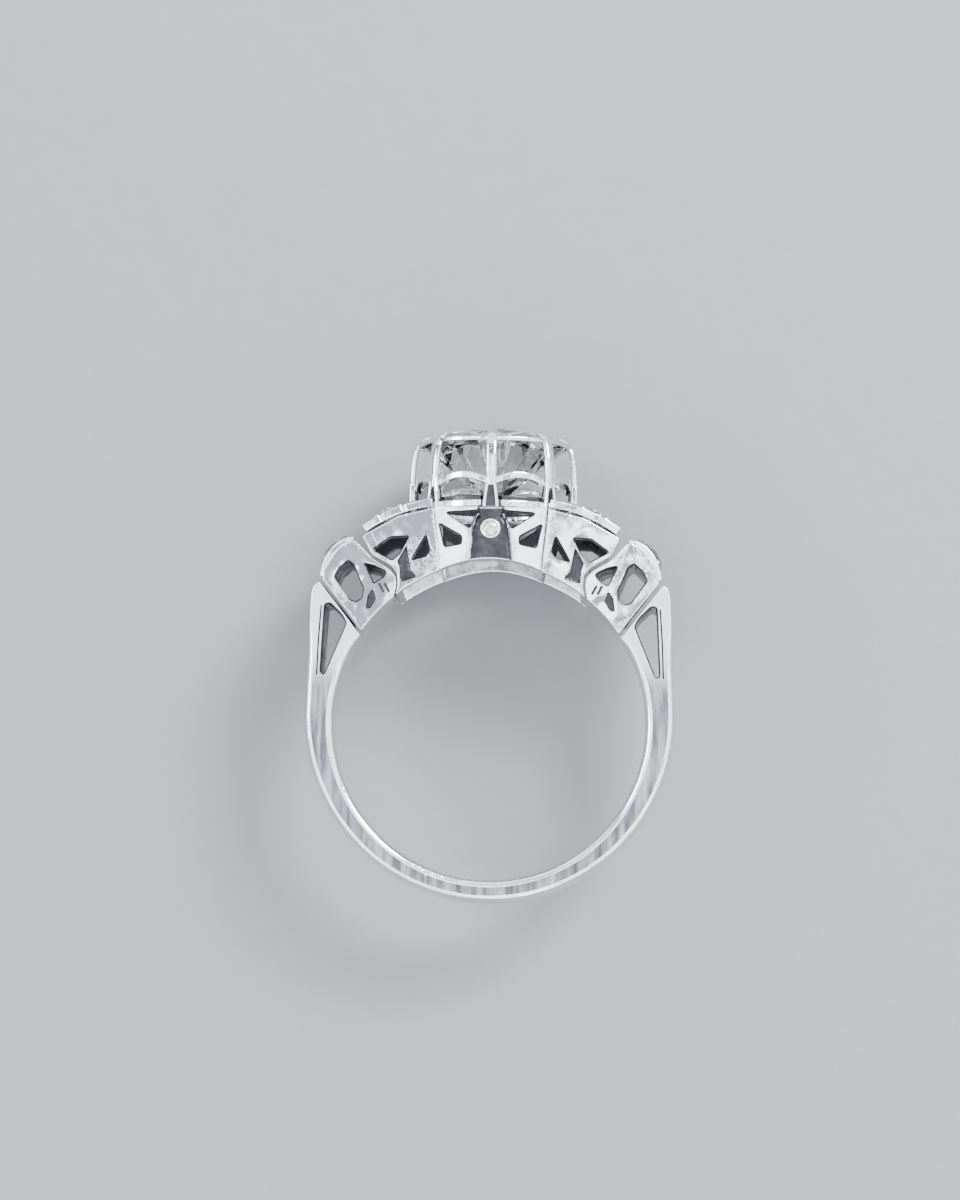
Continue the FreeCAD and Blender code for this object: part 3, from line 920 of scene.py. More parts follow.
FRAME_TOP = [(9.22, 7.75), (9.16, 8.35), (8.88, 8.98), (8.42, 9.52), (7.85, 9.92), (7.42, 9.9)]
FRAME_WALL = 0.4
FRAME_STONE_APART, FRAME_HOLE = 1.12, 0.9
BOX_OUTLINE = [
    (3.07, 11.48), (5.0, 11.03), (6.83, 10.03), (6.93, 9.88), (6.42, 8.95), (5.36, 8.32), (5.03, 7.9),
    (4.96, 7.35), (5.08, 6.78),
]
BOX_HOLES = (
    [(3.3, 9.15), (3.5, 9.95), (4.25, 8.65), (3.5, 8.85)],
    [(4.45, 9.9), (5.4, 9.85), (6.34, 9.2), (5.32, 8.64), (4.9, 9.02)],
)
BOX_SCOOP = [(4.56, 9.3), (4.98, 8.55), (4.86, 8.2), (4.8, 7.5), (4.02, 7.72), (4.34, 8.06), (4.46, 8.7)]
BOX_END = [
    (6.9, 10.0), (6.9, 9.86), (6.4, 8.97), (5.34, 8.34), (5.2, 8.62), (6.2, 9.12), (6.55, 9.75),
    (6.55, 10.1),
]
BOX_TOE = [
    (5.32, 8.3), (5.04, 7.9), (4.98, 7.35), (5.1, 6.78), (4.8, 6.98), (4.7, 7.4), (4.72, 8.0),
    (5.1, 8.5),
]
PLATE_TOP = [(3.05, 11.98), (4.1, 11.8), (5.2, 11.48), (6.15, 11.02), (6.98, 10.5)]
PLATE_DEPTH = 0.42
BOX_WALL, BAR_ROLL, BOX_SCOOP_DEPTH = 0.6, 0.03, 0.22
FOOT_LIFT, FOOT_SPREAD = 0.26, 2.6
BOX_START, BOX_DEPTH, BOX_TAPER = 3.05, 3.45, 0.1084
FRAME_START, FRAME_DEPTH, FRAME_TAPER = 6.2, 2.75, 0.1094
SIDE_STONE, CORNER_STONE, ACCENT_STONE, FRAME_STONE, BEZEL_STONE = 0.95, 0.88, 0.42, 0.95, 0.4


def foot_height(across):
    """Height of the finger hole's edge, which lifts a little under the head."""
    lift = FOOT_LIFT * np.exp(-((across / FOOT_SPREAD) ** 2))
    return np.sqrt(BORE ** 2 - across ** 2) + lift


def box_depth(across, up):
    """Half depth of the first step, which narrows away from the head."""
    return BOX_DEPTH - BOX_TAPER * (np.abs(across) - BOX_START)


def frame_depth(across, up):
    """Half depth of the second step."""
    return FRAME_DEPTH - FRAME_TAPER * (np.abs(across) - FRAME_START)


class Ridge:
    """A smooth curve across the top of a step, with its length, slope and outward normal."""

    def __init__(self, corners, sign):
        points = np.array(mirrored(corners, sign))
        walked = np.concatenate([[0.0], np.cumsum(np.hypot(*np.diff(points, axis=0).T))])
        self.length = walked[-1]
        self.at = np.linspace(0.0, self.length, 120)
        fit = [np.polyfit(walked, points[:, axis], 3) for axis in (0, 1)]
        self.line = np.column_stack([np.polyval(part, self.at) for part in fit])
        slope = np.gradient(self.line, self.at, axis=0)
        slope /= np.hypot(*slope.T)[:, None]
        self.normal = np.column_stack([-slope[:, 1], slope[:, 0]])
        if self.normal[:, 1].mean() < 0:
            self.normal = -self.normal

    def point(self, along, height):
        """Place (x, z) at a distance along the curve and a height over it."""
        base = [np.interp(along, self.at, self.line[:, axis]) for axis in (0, 1)]
        lift = [np.interp(along, self.at, self.normal[:, axis]) for axis in (0, 1)]
        return base[0] + height * lift[0], base[1] + height * lift[1]

    def nearest(self, across, up):
        """Distance along the curve of the point nearest to (x, z)."""
        return float(self.at[np.hypot(self.line[:, 0] - across, self.line[:, 1] - up).argmin()])

    def placed(self, along, finger):
        """Matrix whose Z is the curve's normal and whose Y is the finger axis, in millimetres."""
        x, z = self.point(along, 0.0)
        lean = [np.interp(along, self.at, self.normal[:, axis]) for axis in (0, 1)]
        lift = Vector((lean[0], 0.0, lean[1])).normalized()
        finger_axis = Vector((0.0, 1.0, 0.0))
        side = finger_axis.cross(lift)
        turn = Matrix((side, finger_axis, lift)).transposed().to_4x4()
        return Matrix.Translation((float(x), finger, float(z))) @ turn


def over_ridge(ridge, thickness):
    """Placement for plates bent over a ridge: across is the distance along it, up the finger axis."""

    def place(along, finger, face, depth):
        height = -depth if face > 0 else depth - thickness
        x, z = ridge.point(along, height)
        return np.column_stack([x, finger, z])

    return place


def circle(center, radius, count=40):
    """Corners of a round hole."""
    turn = np.linspace(0.0, 2 * math.pi, count, endpoint=False)
    return np.column_stack([center[0] + radius * np.cos(turn), center[1] + radius * np.sin(turn)])


# ----------------------------------------------------------------------- stones


def facet_fan(inner, start, end, radius, count):
    """One half facet: a point, and an arc of the girdle that lies in the facet's plane."""
    turn = np.linspace(start, end, count)
    arc = np.column_stack([radius * np.cos(turn), radius * np.sin(turn), np.zeros(count)])
    first, last = arc[0], arc[-1]
    normal = np.cross(first - inner, last - inner)
    arc[:, 2] = -((arc[:, :2] - inner[:2]) @ normal[:2]) / normal[2] + inner[2]
    return arc


def brilliant(radius, crown, pavilion, table=0.53, girdle=0.03, arc_count=5):
    """Round brilliant cut about Z with the foot of its girdle at z = 0.

    The eight main facets of the crown and of the pavilion are planes through the girdle
    at every 45 degrees; the point between two of them stands where both planes meet at a
    chosen radius, and the half facets are planes from that point to the girdle.
    """
    eighth = math.pi / 4
    height, depth = crown * radius, pavilion * radius
    table_radius, star_radius, low_radius = table * radius, 0.77 * radius, 0.22 * radius
    top = girdle * radius
    reach = star_radius * math.cos(eighth / 2)
    star_height = top + height * (radius - reach) / (radius - table_radius)
    low_height = -depth * (1 - low_radius * math.cos(eighth / 2) / radius)
    points, faces, slots = [], [], []

    def polygon(corners, slot=0):
        faces.append((np.arange(len(corners)) + len(points))[None, :])
        points.extend(corners)
        slots.append(slot)

    def polar(distance, turn, z):
        return np.array([distance * math.cos(turn), distance * math.sin(turn), z])

    culet = np.array([0.0, 0.0, -depth])
    polygon([polar(table_radius, k * eighth, top + height) for k in range(8)])
    for k in range(8):
        here, half, following = k * eighth, (k + 0.5) * eighth, (k + 1) * eighth
        star = polar(star_radius, half, star_height)
        before = polar(star_radius, half - eighth, star_height)
        low = polar(low_radius, half, low_height)
        low_before = polar(low_radius, half - eighth, low_height)
        corner = polar(table_radius, here, top + height)
        polygon([corner, star, polar(table_radius, following, top + height)][::-1])
        polygon([corner, before, polar(radius, here, top), star])
        polygon([culet, low, polar(radius, here, 0.0), low_before])
        for start, end in ((here, half), (half, following)):
            shift = np.array([0.0, 0.0, top])
            upper = facet_fan(star - shift, start, end, radius, arc_count) + shift
            lower = facet_fan(low, start, end, radius, arc_count)
            polygon([star, *upper])
            polygon([low, *lower[::-1]])
            for number in range(arc_count - 1):
                polygon([upper[number + 1], upper[number], lower[number], lower[number + 1]], 1)
    return np.array(points), faces, slots


def moved(shape, matrix):
    """The same shape under a matrix in millimetres."""
    points, faces, slots = shape
    turn = np.array(matrix.to_3x3())
    return points @ turn.T + np.array(matrix.translation), faces, slots


def face_outwards(shape):
    """Turn each facet of a convex stone so that it faces away from the stone's middle."""
    points, faces, slots = shape
    middle = points.mean(axis=0)
    result = []
    for face in faces:
        corners = points[face[0]]
        normal = np.zeros(3)
        for number in range(1, len(corners) - 1):
            normal += np.cross(corners[number] - corners[0], corners[number + 1] - corners[0])
        outward = normal @ (corners.mean(axis=0) - middle)
        result.append(face if outward > 0 else face[:, ::-1])
    return points, result, slots


STONE_CROWN, STONE_PAVILION = 0.17, 0.84


def shoulder_stone(name, cad_node, radius, matrix):
    """One small stone that replaces its CAD node."""
    shape = face_outwards(brilliant(radius, STONE_CROWN * 1.35, STONE_PAVILION, table=0.5, arc_count=4))
    materials = [MATERIALS["diamond"], MATERIALS["girdle"]]
    return finish_piece(name, cad_node, moved(shape, matrix), materials, faceted=True)


def ball(center, radius, flatten=1.0):
    """Small bead: latitude rows from pole to pole of a sphere."""
    turn = np.linspace(0.0, 2 * math.pi, 10, endpoint=False)
    rows = np.linspace(0.12, math.pi - 0.12, 7)[:, None]
    grid = np.stack(
        [
            radius * np.sin(rows) * np.cos(turn),
            radius * np.sin(rows) * np.sin(turn),
            radius * flatten * np.cos(rows) * np.ones_like(turn),
        ],
        axis=-1,
    )
    return skin(grid + np.asarray(center))


def beads(name, cad_node, matrices, radius):
    """A group of grains, one at each matrix, that replaces the CAD group."""
    parts = [moved(ball((0.0, 0.0, 0.0), radius, 0.85), matrix) for matrix in matrices]
    return finish_piece(name, cad_node, join(parts), [MATERIALS["bright"]])


# ------------------------------------------------------------------- operators


GROOVE_OFFSET, GROOVE_WIDTH, GROOVE_DEPTH = 0.17, 0.05, 0.12


def along_fork(offset):
    """Groove beside the outer edge of a fork's window, as a thin outline."""
    edge = [(9.18 + offset, 2.5), (9.1 + offset, 4.4), (8.97 + offset, 6.25)]
    return edge + [(across + GROOVE_WIDTH, up) for across, up in edge[::-1]]


class AddShank(bpy.types.Operator):
    """Add the band with its two forks"""

    bl_idname = "ring.add_shank"
    bl_label = "Band and forks"

    def execute(self, context):
        band = Slab(through(half_band), band_roll, corner=0.07, step=0.1, spacing=0.5)
        band.through(shank_outline(), crown=band_crown)
        for _, sign in SIDES:
            # The fork windows' walls and the grooves take the recess colour's painted shade.
            band.through(mirrored(FORK_WINDOW, sign), hole=True, slot=RECESS)
            groove = mirrored(along_fork(GROOVE_OFFSET), sign)
            band.pocket(groove, GROOVE_DEPTH, faces=(1, -1), radius=0.02)
        shape = join([band.finish(top=FACE, bottom=FACE)])
        materials = [MATERIALS["worn"], MATERIALS["satin"], MATERIALS["recess"]]
        finish_piece("polished_shank", "shank", shape, materials)
        return {"FINISHED"}


def setting_metals():
    """Materials of a pierced piece, in the order of the slab's slots; the recess and hollow ones carry
    painted shade.
    """
    return [MATERIALS["bright"], MATERIALS["bright"], MATERIALS["recess"], MATERIALS["hollow"]]


class AddStepFrames(bpy.types.Operator):
    """Add the open frames of the second step with their setting plates"""

    bl_idname = "ring.add_step_frames"
    bl_label = "Second step"

    def execute(self, context):
        roll = context.scene.ring_sizes.edge_roll / MM
        for side, sign in SIDES:
            walls = Slab(through(frame_depth), roll, step=0.07, spacing=0.3)
            foot = np.linspace(*FRAME_FOOT, 30)
            arc = np.column_stack([BORE * np.cos(foot), BORE * np.sin(foot)])
            walls.through(np.vstack([FRAME_SIDE, arc]) * (sign, 1))
            # The window, notch, flute and hollow walls take the recess colour's painted shade.
            walls.through(mirrored(FRAME_WINDOW, sign), hole=True, slot=RECESS)
            walls.through(mirrored(FRAME_NOTCH, sign), hole=True, slot=RECESS)
            for across in FRAME_FLUTES:
                walls.pocket(mirrored(self.flute(across), sign), FLUTE_DEPTH, faces=(1, -1), radius=0.02)
            walls.pocket(mirrored(FRAME_HOLLOW, sign), HOLLOW_DEPTH, faces=(1, -1), radius=0.05)
            ridge = Ridge(FRAME_TOP, sign)
            stones = self.stone_places(ridge, sign)
            long = ridge.length
            plate = Slab(over_ridge(ridge, FRAME_WALL), roll, step=0.07, spacing=0.3)
            plate.through([(0.0, -2.42), (long, -2.6), (long, 2.6), (0.0, 2.42)])
            for place in stones:
                plate.through(circle(place, FRAME_HOLE), hole=True)
            # The plate's underside takes the recess colour's painted shade.
            shape = join([walls.finish(), plate.finish(bottom=RECESS)])
            name = f"polished_step_frame_{side}"
            finish_piece(name, f"step_frame_{side}", shape, setting_metals())
            self.set_stones(side, ridge, stones)
        return {"FINISHED"}

    def flute(self, across):
        """Short groove across the frame's toe, square to the finger hole."""
        return [(across, 6.95), (across + 0.25, 7.42), (across + 0.35, 7.37), (across + 0.1, 6.9)]

    def stone_places(self, ridge, sign):
        """Where the two stones stand: distance along the ridge, and along the finger."""
        along = ridge.nearest(sign * 8.47, 9.33)
        return [(along, towards * FRAME_STONE_APART) for _, towards in FACES]

    def set_stones(self, side, ridge, stones):
        """Two stones side by side, held by six grains."""
        spots = []
        for (face, towards), (along, finger) in zip(FACES, stones):
            node_name = f"frame_stone_{side}_{face}"
            shoulder_stone(f"cut_{node_name}", node_name, FRAME_STONE, ridge.placed(along, finger))
            spots += [(along + shift, finger + towards * 0.74) for shift in (-0.74, 0.74)]
        spots += [(stones[0][0] + shift, 0.0) for shift in (-0.55, 0.55)]
        matrices = [ridge.placed(along, finger) for along, finger in spots]
        bead = bpy.context.scene.ring_sizes.bead_radius / MM
        beads(f"frame_beads_{side}", f"frame_grains_{side}", matrices, bead)


class AddSideBoxes(bpy.types.Operator):
    """Add the pierced boxes of the first step"""

    bl_idname = "ring.add_side_boxes"
    bl_label = "First step"

    def execute(self, context):
        roll = context.scene.ring_sizes.edge_roll / MM
        across = np.linspace(BOX_OUTLINE[-1][0], 2.74, 30)
        arc = np.column_stack([across, foot_height(across)])
        for side, sign in SIDES:
            parts = []
            for _, towards in FACES:
                place = seen_along_finger(box_depth, lambda x, z: box_depth(x, z) - BOX_WALL, towards)
                wall = Slab(place, roll, step=0.06, spacing=0.25)
                wall.through(np.vstack([BOX_OUTLINE, arc]) * (sign, 1))
                # The holes' walls, the scoop and the walls' inner faces take painted shade.
                for hole in BOX_HOLES:
                    wall.through(mirrored(hole, sign), hole=True, slot=RECESS)
                wall.pocket(mirrored(BOX_SCOOP, sign), BOX_SCOOP_DEPTH, radius=0.06)
                parts.append(wall.finish(bottom=HOLLOW))
            for corners in (BOX_END, BOX_TOE):
                bar = Slab(through(lambda x, z: box_depth(x, z) - BOX_WALL / 2), BAR_ROLL)
                bar.through(mirrored(corners, sign))
                parts.append(bar.finish())
            name = f"polished_side_box_{side}"
            finish_piece(name, f"side_box_{side}", join(parts), setting_metals())
        return {"FINISHED"}


SMALL_HOLE, FINE_ROLL = 1.0, 0.025
PLATE_START, PLATE_NEAR, PLATE_FAR = 0.14, BOX_DEPTH, 3.03
CUT_SHARES, CUT_HALF, CUT_DEPTH = (0.42, 0.73), 0.09, 0.22
HEAD_CLEARANCE, BITE_HALF = 0.04, 3.4
SEAT_SHARE = 0.95
BOX_BEADS = ((0, 0.8, 0.95), (0, -0.72, 0.95), (1, 0.78, 2.78), (1, -0.62, 2.9))


class AddBoxPlates(bpy.types.Operator):
    """Add the setting plates of the first step with their stones"""

    bl_idname = "ring.add_box_plates"
    bl_label = "First step's setting plates"

    def execute(self, context):
        roll = context.scene.ring_sizes.edge_roll / MM
        for side, sign in SIDES:
            ridge = Ridge(PLATE_TOP, sign)
            stones = self.stone_places(ridge, sign)
            edges = self.edge_roll(ridge, roll)
            plate = Slab(over_ridge(ridge, PLATE_DEPTH), edges, corner=0.035, step=0.05, spacing=0.25)
            plate.through(self.rim(ridge))
            for _, radius, along, finger in stones:
                plate.through(circle((along, finger), radius * SEAT_SHARE), hole=True)
            # The plate's underside takes the recess colour's painted shade.
            shape = join([plate.finish(bottom=RECESS)])
            name = f"polished_box_plate_{side}"
            finish_piece(name, f"box_plate_{side}", shape, setting_metals())
            for label, radius, along, finger in stones:
                cad_node = label.format(side=side)
                shoulder_stone(f"cut_{cad_node}", cad_node, radius, ridge.placed(along, finger))
            self.add_beads(side, ridge, stones)
        return {"FINISHED"}

    def edge_roll(self, ridge, roll):
        """Roll of the plate's edges, finer at the smallest holes and close to the head."""

        def along_loop(loop):
            if np.ptp(loop[:, 0]) < SMALL_HOLE:
                return np.full(len(loop), FINE_ROLL)
            reach = np.hypot(ridge.point(loop[:, 0], 0.0)[0], loop[:, 1])
            return np.interp(reach, (HEAD_RADIUS + 0.15, HEAD_RADIUS + 0.6), (FINE_ROLL, roll))

        return along_loop

    def stone_places(self, ridge, sign):
        """Five stones that follow the head: label, radius, distance along, and along the finger."""
        stones = [("side_stone_{side}", SIDE_STONE, ridge.nearest(sign * 5.85, 11.2), 0.0)]
        for face, towards in FACES:
            corner, accent = ridge.nearest(sign * 5.5, 11.4), ridge.nearest(sign * 4.3, 11.75)
            stones.append(("corner_stone_{side}_" + face, CORNER_STONE, corner, towards * 2.1))
            stones.append(("accent_stone_{side}_" + face, ACCENT_STONE, accent, towards * 2.78))
        return stones

    def rim(self, ridge):
        """Plan of the plate: tapered edges with two saw cuts in each, and a round bite for the head.

        The bite leaves out its two end points, so that its corners with the edges are blunt.
        """
        edge = [(PLATE_START, PLATE_NEAR)]
        for cut in CUT_SHARES:
            at, depth = cut * ridge.length, PLATE_NEAR + (PLATE_FAR - PLATE_NEAR) * cut
            edge += [(at - CUT_HALF, depth), (at, depth - CUT_DEPTH), (at + CUT_HALF, depth)]
        edge.append((ridge.length, PLATE_FAR))
        front = [(along, -finger) for along, finger in edge]
        fingers = np.linspace(BITE_HALF, -BITE_HALF, 40)[1:-1]
        reach = np.sqrt((HEAD_RADIUS + HEAD_CLEARANCE) ** 2 - fingers ** 2)
        along = np.interp(reach, np.abs(ridge.line[:, 0]), ridge.at)
        return np.vstack([front, edge[::-1], np.column_stack([along, fingers])])

    def add_beads(self, side, ridge, stones):
        """Grains between the stones and along the plate's edges."""
        matrices = []
        for _, towards in FACES:
            for stone, shift, finger in BOX_BEADS:
                matrices.append(ridge.placed(stones[stone][2] + shift, towards * finger))
        bead = bpy.context.scene.ring_sizes.bead_radius / MM
        beads(f"box_beads_{side}", f"box_grains_{side}", matrices, bead)


GALLERY_TRIANGLE = [(0.7, 11.24), (2.36, 11.12), (1.15, 10.34)]
GALLERY_DROP = [(2.74, 10.52), (1.58, 9.88), (1.58, 9.5), (2.46, 9.33)]
SCOOP_HEIGHTS = (8.6, 9.1, 9.7, 10.3, 10.8, 11.05, 11.3, 11.8)
SCOOP_HALF_WIDTHS = (1.1, 1.06, 1.0, 0.96, 0.76, 0.58, 0.72, 0.42)
SCOOP_DEPTH = 0.28
LEAN_START, OUTER_LEAN, INNER_LEAN = 6.5, 0.154, 0.15
SEAM_TOP, SEAM_FOOT = (3.03, 11.48), 2.72
BEZEL_LENGTH, BEZEL_NECK, BEZEL_SINK = 0.7, 0.3, 0.14


class AddGallery(bpy.types.Operator):
    """Add the pierced gallery plates with their tube bezels and tiny stones"""

    bl_idname = "ring.add_gallery"
    bl_label = "Gallery"

    def execute(self, context):
        roll = context.scene.ring_sizes.edge_roll / MM
        for face, towards in FACES:
            plate = Slab(seen_along_finger(self.outer, self.inner, towards), roll, step=0.06, spacing=0.07)
            plate.through(self.rim())
            # The windows' walls take the recess colour's painted shade.
            for hole in (GALLERY_TRIANGLE, GALLERY_DROP):
                for _, sign in SIDES:
                    plate.through(mirrored(hole, sign), hole=True, slot=RECESS)
            # The scoop's floor takes painted shade, and the inner face takes the hollow material's painted
            # shade.
            shape = join([plate.finish(bottom=HOLLOW, recess=self.scooped)])
            name = f"polished_gallery_{face}"
            finish_piece(name, f"gallery_plate_{face}", shape, setting_metals())
            self.add_bezel(face, towards)
        return {"FINISHED"}

    def rim(self):
        """Trapezium between the seams, whose foot follows the finger hole."""
        across = np.linspace(-SEAM_FOOT, SEAM_FOOT, 50)
        foot = np.column_stack([across, foot_height(across)])
        return np.vstack([[SEAM_TOP], mirrored([SEAM_TOP], -1), foot])

    def half_scoop(self, up):
        """Half width of the waisted scoop at a height."""
        return np.interp(up, SCOOP_HEIGHTS, SCOOP_HALF_WIDTHS)

    def scooped(self, across, up):
        """True inside the scoop, whose floor takes the recess colour's painted shade."""
        return np.abs(across) < self.half_scoop(up)

    def outer(self, across, up):
        """Leaning face with a flat-bottomed bell-curve scoop down its middle."""
        lean = BOX_DEPTH + (up - LEAN_START) * OUTER_LEAN
        return lean - SCOOP_DEPTH * np.exp(-((np.abs(across) / self.half_scoop(up)) ** 10) * 0.7)

    def inner(self, across, up):
        """Back face of the plate, nearly parallel to the outer one."""
        return BOX_DEPTH - BOX_WALL + (up - LEAN_START) * INNER_LEAN

    def add_bezel(self, face, towards):
        """Tube with a rounded lip, lathed from its profile, and its stone."""
        half_wall = (BEZEL_RADIUS - BEZEL_STONE) / 2
        lip = np.linspace(0.0, math.pi, 9)
        rounded = BEZEL_STONE + half_wall * (1 - np.cos(lip))
        profile_r = np.concatenate([[BEZEL_STONE] * 2, rounded, [BEZEL_RADIUS] * 2])
        top = BEZEL_FACE - half_wall
        foot = [top - BEZEL_LENGTH, top - BEZEL_NECK]
        profile_y = np.concatenate([foot, top + half_wall * np.sin(lip), foot[::-1]])
        turn = np.linspace(0.0, 2 * math.pi, 48, endpoint=False)[:, None]
        grid = np.stack(
            [
                profile_r * np.cos(turn),
                towards * profile_y * np.ones_like(turn),
                BEZEL_HEIGHT + profile_r * np.sin(turn),
            ],
            axis=-1,
        )
        shape = join([skin(grid, wrap_rows=True)])
        finish_piece(
            f"polished_bezel_{face}", f"bezel_{face}", shape, [MATERIALS["bright"]]
        )
        facing = Matrix.Rotation(-towards * math.pi / 2, 4, "X")
        matrix = Matrix.Translation((0.0, towards * (BEZEL_FACE - BEZEL_SINK), BEZEL_HEIGHT)) @ facing
        shoulder_stone(f"cut_bezel_stone_{face}", f"bezel_stone_{face}", BEZEL_STONE, matrix)


def squared(value, power=6.0):
    """Superellipse share of a sine or cosine: nearly flat, with rounded corners."""
    return np.sign(value) * np.abs(value) ** (2 / power)


def lathe_section(inner, outer, low, high, count=40):
    """Rounded-rectangle section (radius, height)."""
    turn = np.linspace(0.0, 2 * math.pi, count, endpoint=False)
    radius = (inner + outer) / 2 + (outer - inner) / 2 * squared(np.cos(turn))
    height = (low + high) / 2 + (high - low) / 2 * squared(np.sin(turn))
    return radius, height


BASE_NOTCH, BASE_NOTCH_HALF, BASE_STEP = 0.24, 0.5, 0.36
SCALLOP_RISE = 0.48


class AddRails(bpy.types.Operator):
    """Add the three rails of the head"""

    bl_idname = "ring.add_rails"
    bl_label = "Head rails"

    def execute(self, context):
        outer = RAIL_RADIUS
        step = BASE_LOW + BASE_STEP
        bar = self.rail(outer - 0.36, outer + 0.06, BASE_LOW, step, notched=True)
        # The ledge takes the recess colour: a painted dark line of shade above the bar.
        ledge = self.rail(outer - 0.36, outer - 0.1, step - 0.02, BASE_HIGH, notched=True, slot=RECESS)
        self.add_rail("base_rail", [bar, ledge])
        self.add_rail("girdle_rail", [self.rail(outer - 0.27, outer + 0.02, GIRDLE_LOW, GIRDLE_HIGH)])
        low, high = SCALLOP_TOP - SCALLOP_RISE - 0.36, SCALLOP_TOP - SCALLOP_RISE
        arches = self.rail(outer - 0.34, outer + 0.04, low, high, rise=SCALLOP_RISE)
        self.add_rail("scalloped_rail", [arches])
        return {"FINISHED"}

    def add_rail(self, cad_node, parts):
        """Make the rail that replaces a CAD node from its skins."""
        finish_piece(f"polished_{cad_node}", cad_node, join(parts), setting_metals())

    def rail(self, inner, outer, low, high, rise=0.0, notched=False, slot=POLISHED):
        """Carry the section round the head; it rises as a parabola between claws.

        A notched rail steps inwards by a bell curve under the front and back claws.
        """
        count = bpy.context.scene.ring_sizes.claw_count
        turn = np.linspace(0.0, 2 * math.pi, count * 36, endpoint=False)[:, None]
        radius, height = lathe_section(inner, outer, low, high)
        share = (turn * count / (2 * math.pi)) % 1.0
        arch = rise * (1 - ((share - 0.5) * 2) ** 2)
        notch = 0.0
        if notched:
            notch = BASE_NOTCH * np.exp(-((np.sin(turn) * outer / BASE_NOTCH_HALF) ** 8))
        radius = radius - notch
        grid = np.stack([radius * np.sin(turn), -radius * np.cos(turn), height + arch], axis=-1)
        return skin(grid, wrap_rows=True, slot=slot)


CLAW_PATH = [
    (4.42, 11.45), (4.42, 12.5), (4.42, 13.4), (4.37, 14.2), (4.25, 14.9), (4.03, 15.36), (3.73, 15.59),
    (3.42, CLAW_TOP - 0.07),
]
CLAW_THICKNESS = (0.34, 0.35, 0.36, 0.36, 0.34, 0.3, 0.24, 0.17)
STEM_START, WEB_THICKNESS = 0.16, 0.14
FOOT_LOW, FOOT_HEIGHT, FOOT_WIDTH, FOOT_THICKNESS = 11.42, 1.75, 0.2, 0.32


def web_face(across, up):
    """Where the sheet between a claw's feet stands, out from the head's axis."""
    return np.full_like(across, RAIL_RADIUS)


class AddClaws(bpy.types.Operator):
    """Add the eight claws, each with two feet that part above the base rail"""

    bl_idname = "ring.add_claws"
    bl_label = "Claws"

    def execute(self, context):
        sizes = context.scene.ring_sizes
        for number in range(sizes.claw_count):
            turn = Matrix.Rotation(number * 2 * math.pi / sizes.claw_count, 4, "Z")
            parts = [self.stem(sizes.claw_width / MM)]
            parts += [self.foot(side) for side in (-1, 1)]
            parts.append(self.web(number % (sizes.claw_count // 2) == 0))
            shape = moved(join(parts), turn)
            name = f"polished_claw_{number + 1}"
            finish_piece(name, f"claw_{number + 1}", shape, setting_metals())
        return {"FINISHED"}

    def web(self, over_rail):
        """Sheet between the feet in near-black painted shade, standing for the shade there; on the front
        and back claws it runs down over the rail.
        """
        right = [(0.72, 11.5), (0.52, 11.75), (0.3, 12.1)] if over_rail else [(0.3, 12.12)]
        right += [(0.2, 12.6), (0.08, 13.0)]
        place = seen_along_finger(web_face, lambda x, z: web_face(x, z) - WEB_THICKNESS, -1)
        sheet = Slab(place, 0.02, corner=0.03, step=0.05, spacing=0.2)
        sheet.through(right + mirrored(right, -1)[::-1], slot=RECESS)
        return sheet.finish(top=RECESS, bottom=RECESS)

    def sweep(self, path, across, width, thickness):
        """Ridged section carried along a path: out(angle) is peaked at the front by a cosine power."""
        tangent = np.gradient(path, axis=0)
        tangent /= np.hypot(*tangent.T)[:, None]
        outward = np.column_stack([tangent[:, 1], -tangent[:, 0]])
        turn = np.linspace(0.0, 2 * math.pi, 28, endpoint=False)
        side = np.sign(np.sin(turn)) * np.abs(np.sin(turn)) ** 0.75
        out = np.where(np.cos(turn) > 0, np.abs(np.cos(turn)) ** 1.15, -np.abs(np.cos(turn)) ** 0.6)
        reach = thickness[:, None] / 2 * out
        radius = path[:, 0][:, None] + outward[:, 0][:, None] * reach
        height = path[:, 1][:, None] + outward[:, 1][:, None] * reach
        sideways = across[:, None] + width[:, None] / 2 * side
        return skin(np.stack([sideways, -radius, height], axis=-1))

    def stem(self, width):
        """The claw from above its feet to its tip, which narrows and rounds off over the girdle."""
        share = np.linspace(0.0, 1.0, len(CLAW_PATH))
        fine = np.linspace(STEM_START, 1.0, 60)
        path = np.column_stack([np.interp(fine, share, np.array(CLAW_PATH)[:, axis]) for axis in (0, 1)])
        kernel = np.hanning(9) / np.hanning(9).sum()
        for axis in (0, 1):
            padded = np.pad(path[:, axis], 4, mode="reflect", reflect_type="odd")
            path[:, axis] = np.convolve(padded, kernel, mode="valid")
        thick = np.interp(fine, share, CLAW_THICKNESS)
        end = np.clip((1.0 - fine) / 0.06, 0.0, 1.0)
        rounded = np.sqrt(1 - (1 - end) ** 2) * 0.97 + 0.03
        narrow = width * (1 - 0.18 * np.clip((fine - 0.6) / 0.4, 0.0, 1.0)) * rounded
        start = np.clip((fine - STEM_START) / 0.12, 0.0, 1.0)
        narrow = narrow * (0.55 + 0.45 * start)
        return self.sweep(path, np.zeros(len(fine)), narrow, thick * rounded)

    def foot(self, side):
        """One of two slim feet that spread sideways towards the base rail."""
        share = np.linspace(0.0, 1.0, 30)
        path = np.column_stack([np.full_like(share, CLAW_PATH[0][0]), FOOT_LOW + share * FOOT_HEIGHT])
        across = side * (0.34 - 0.22 * share ** 1.4)
        width = np.full_like(share, FOOT_WIDTH)
        return self.sweep(path, across, width, np.full_like(share, FOOT_THICKNESS))


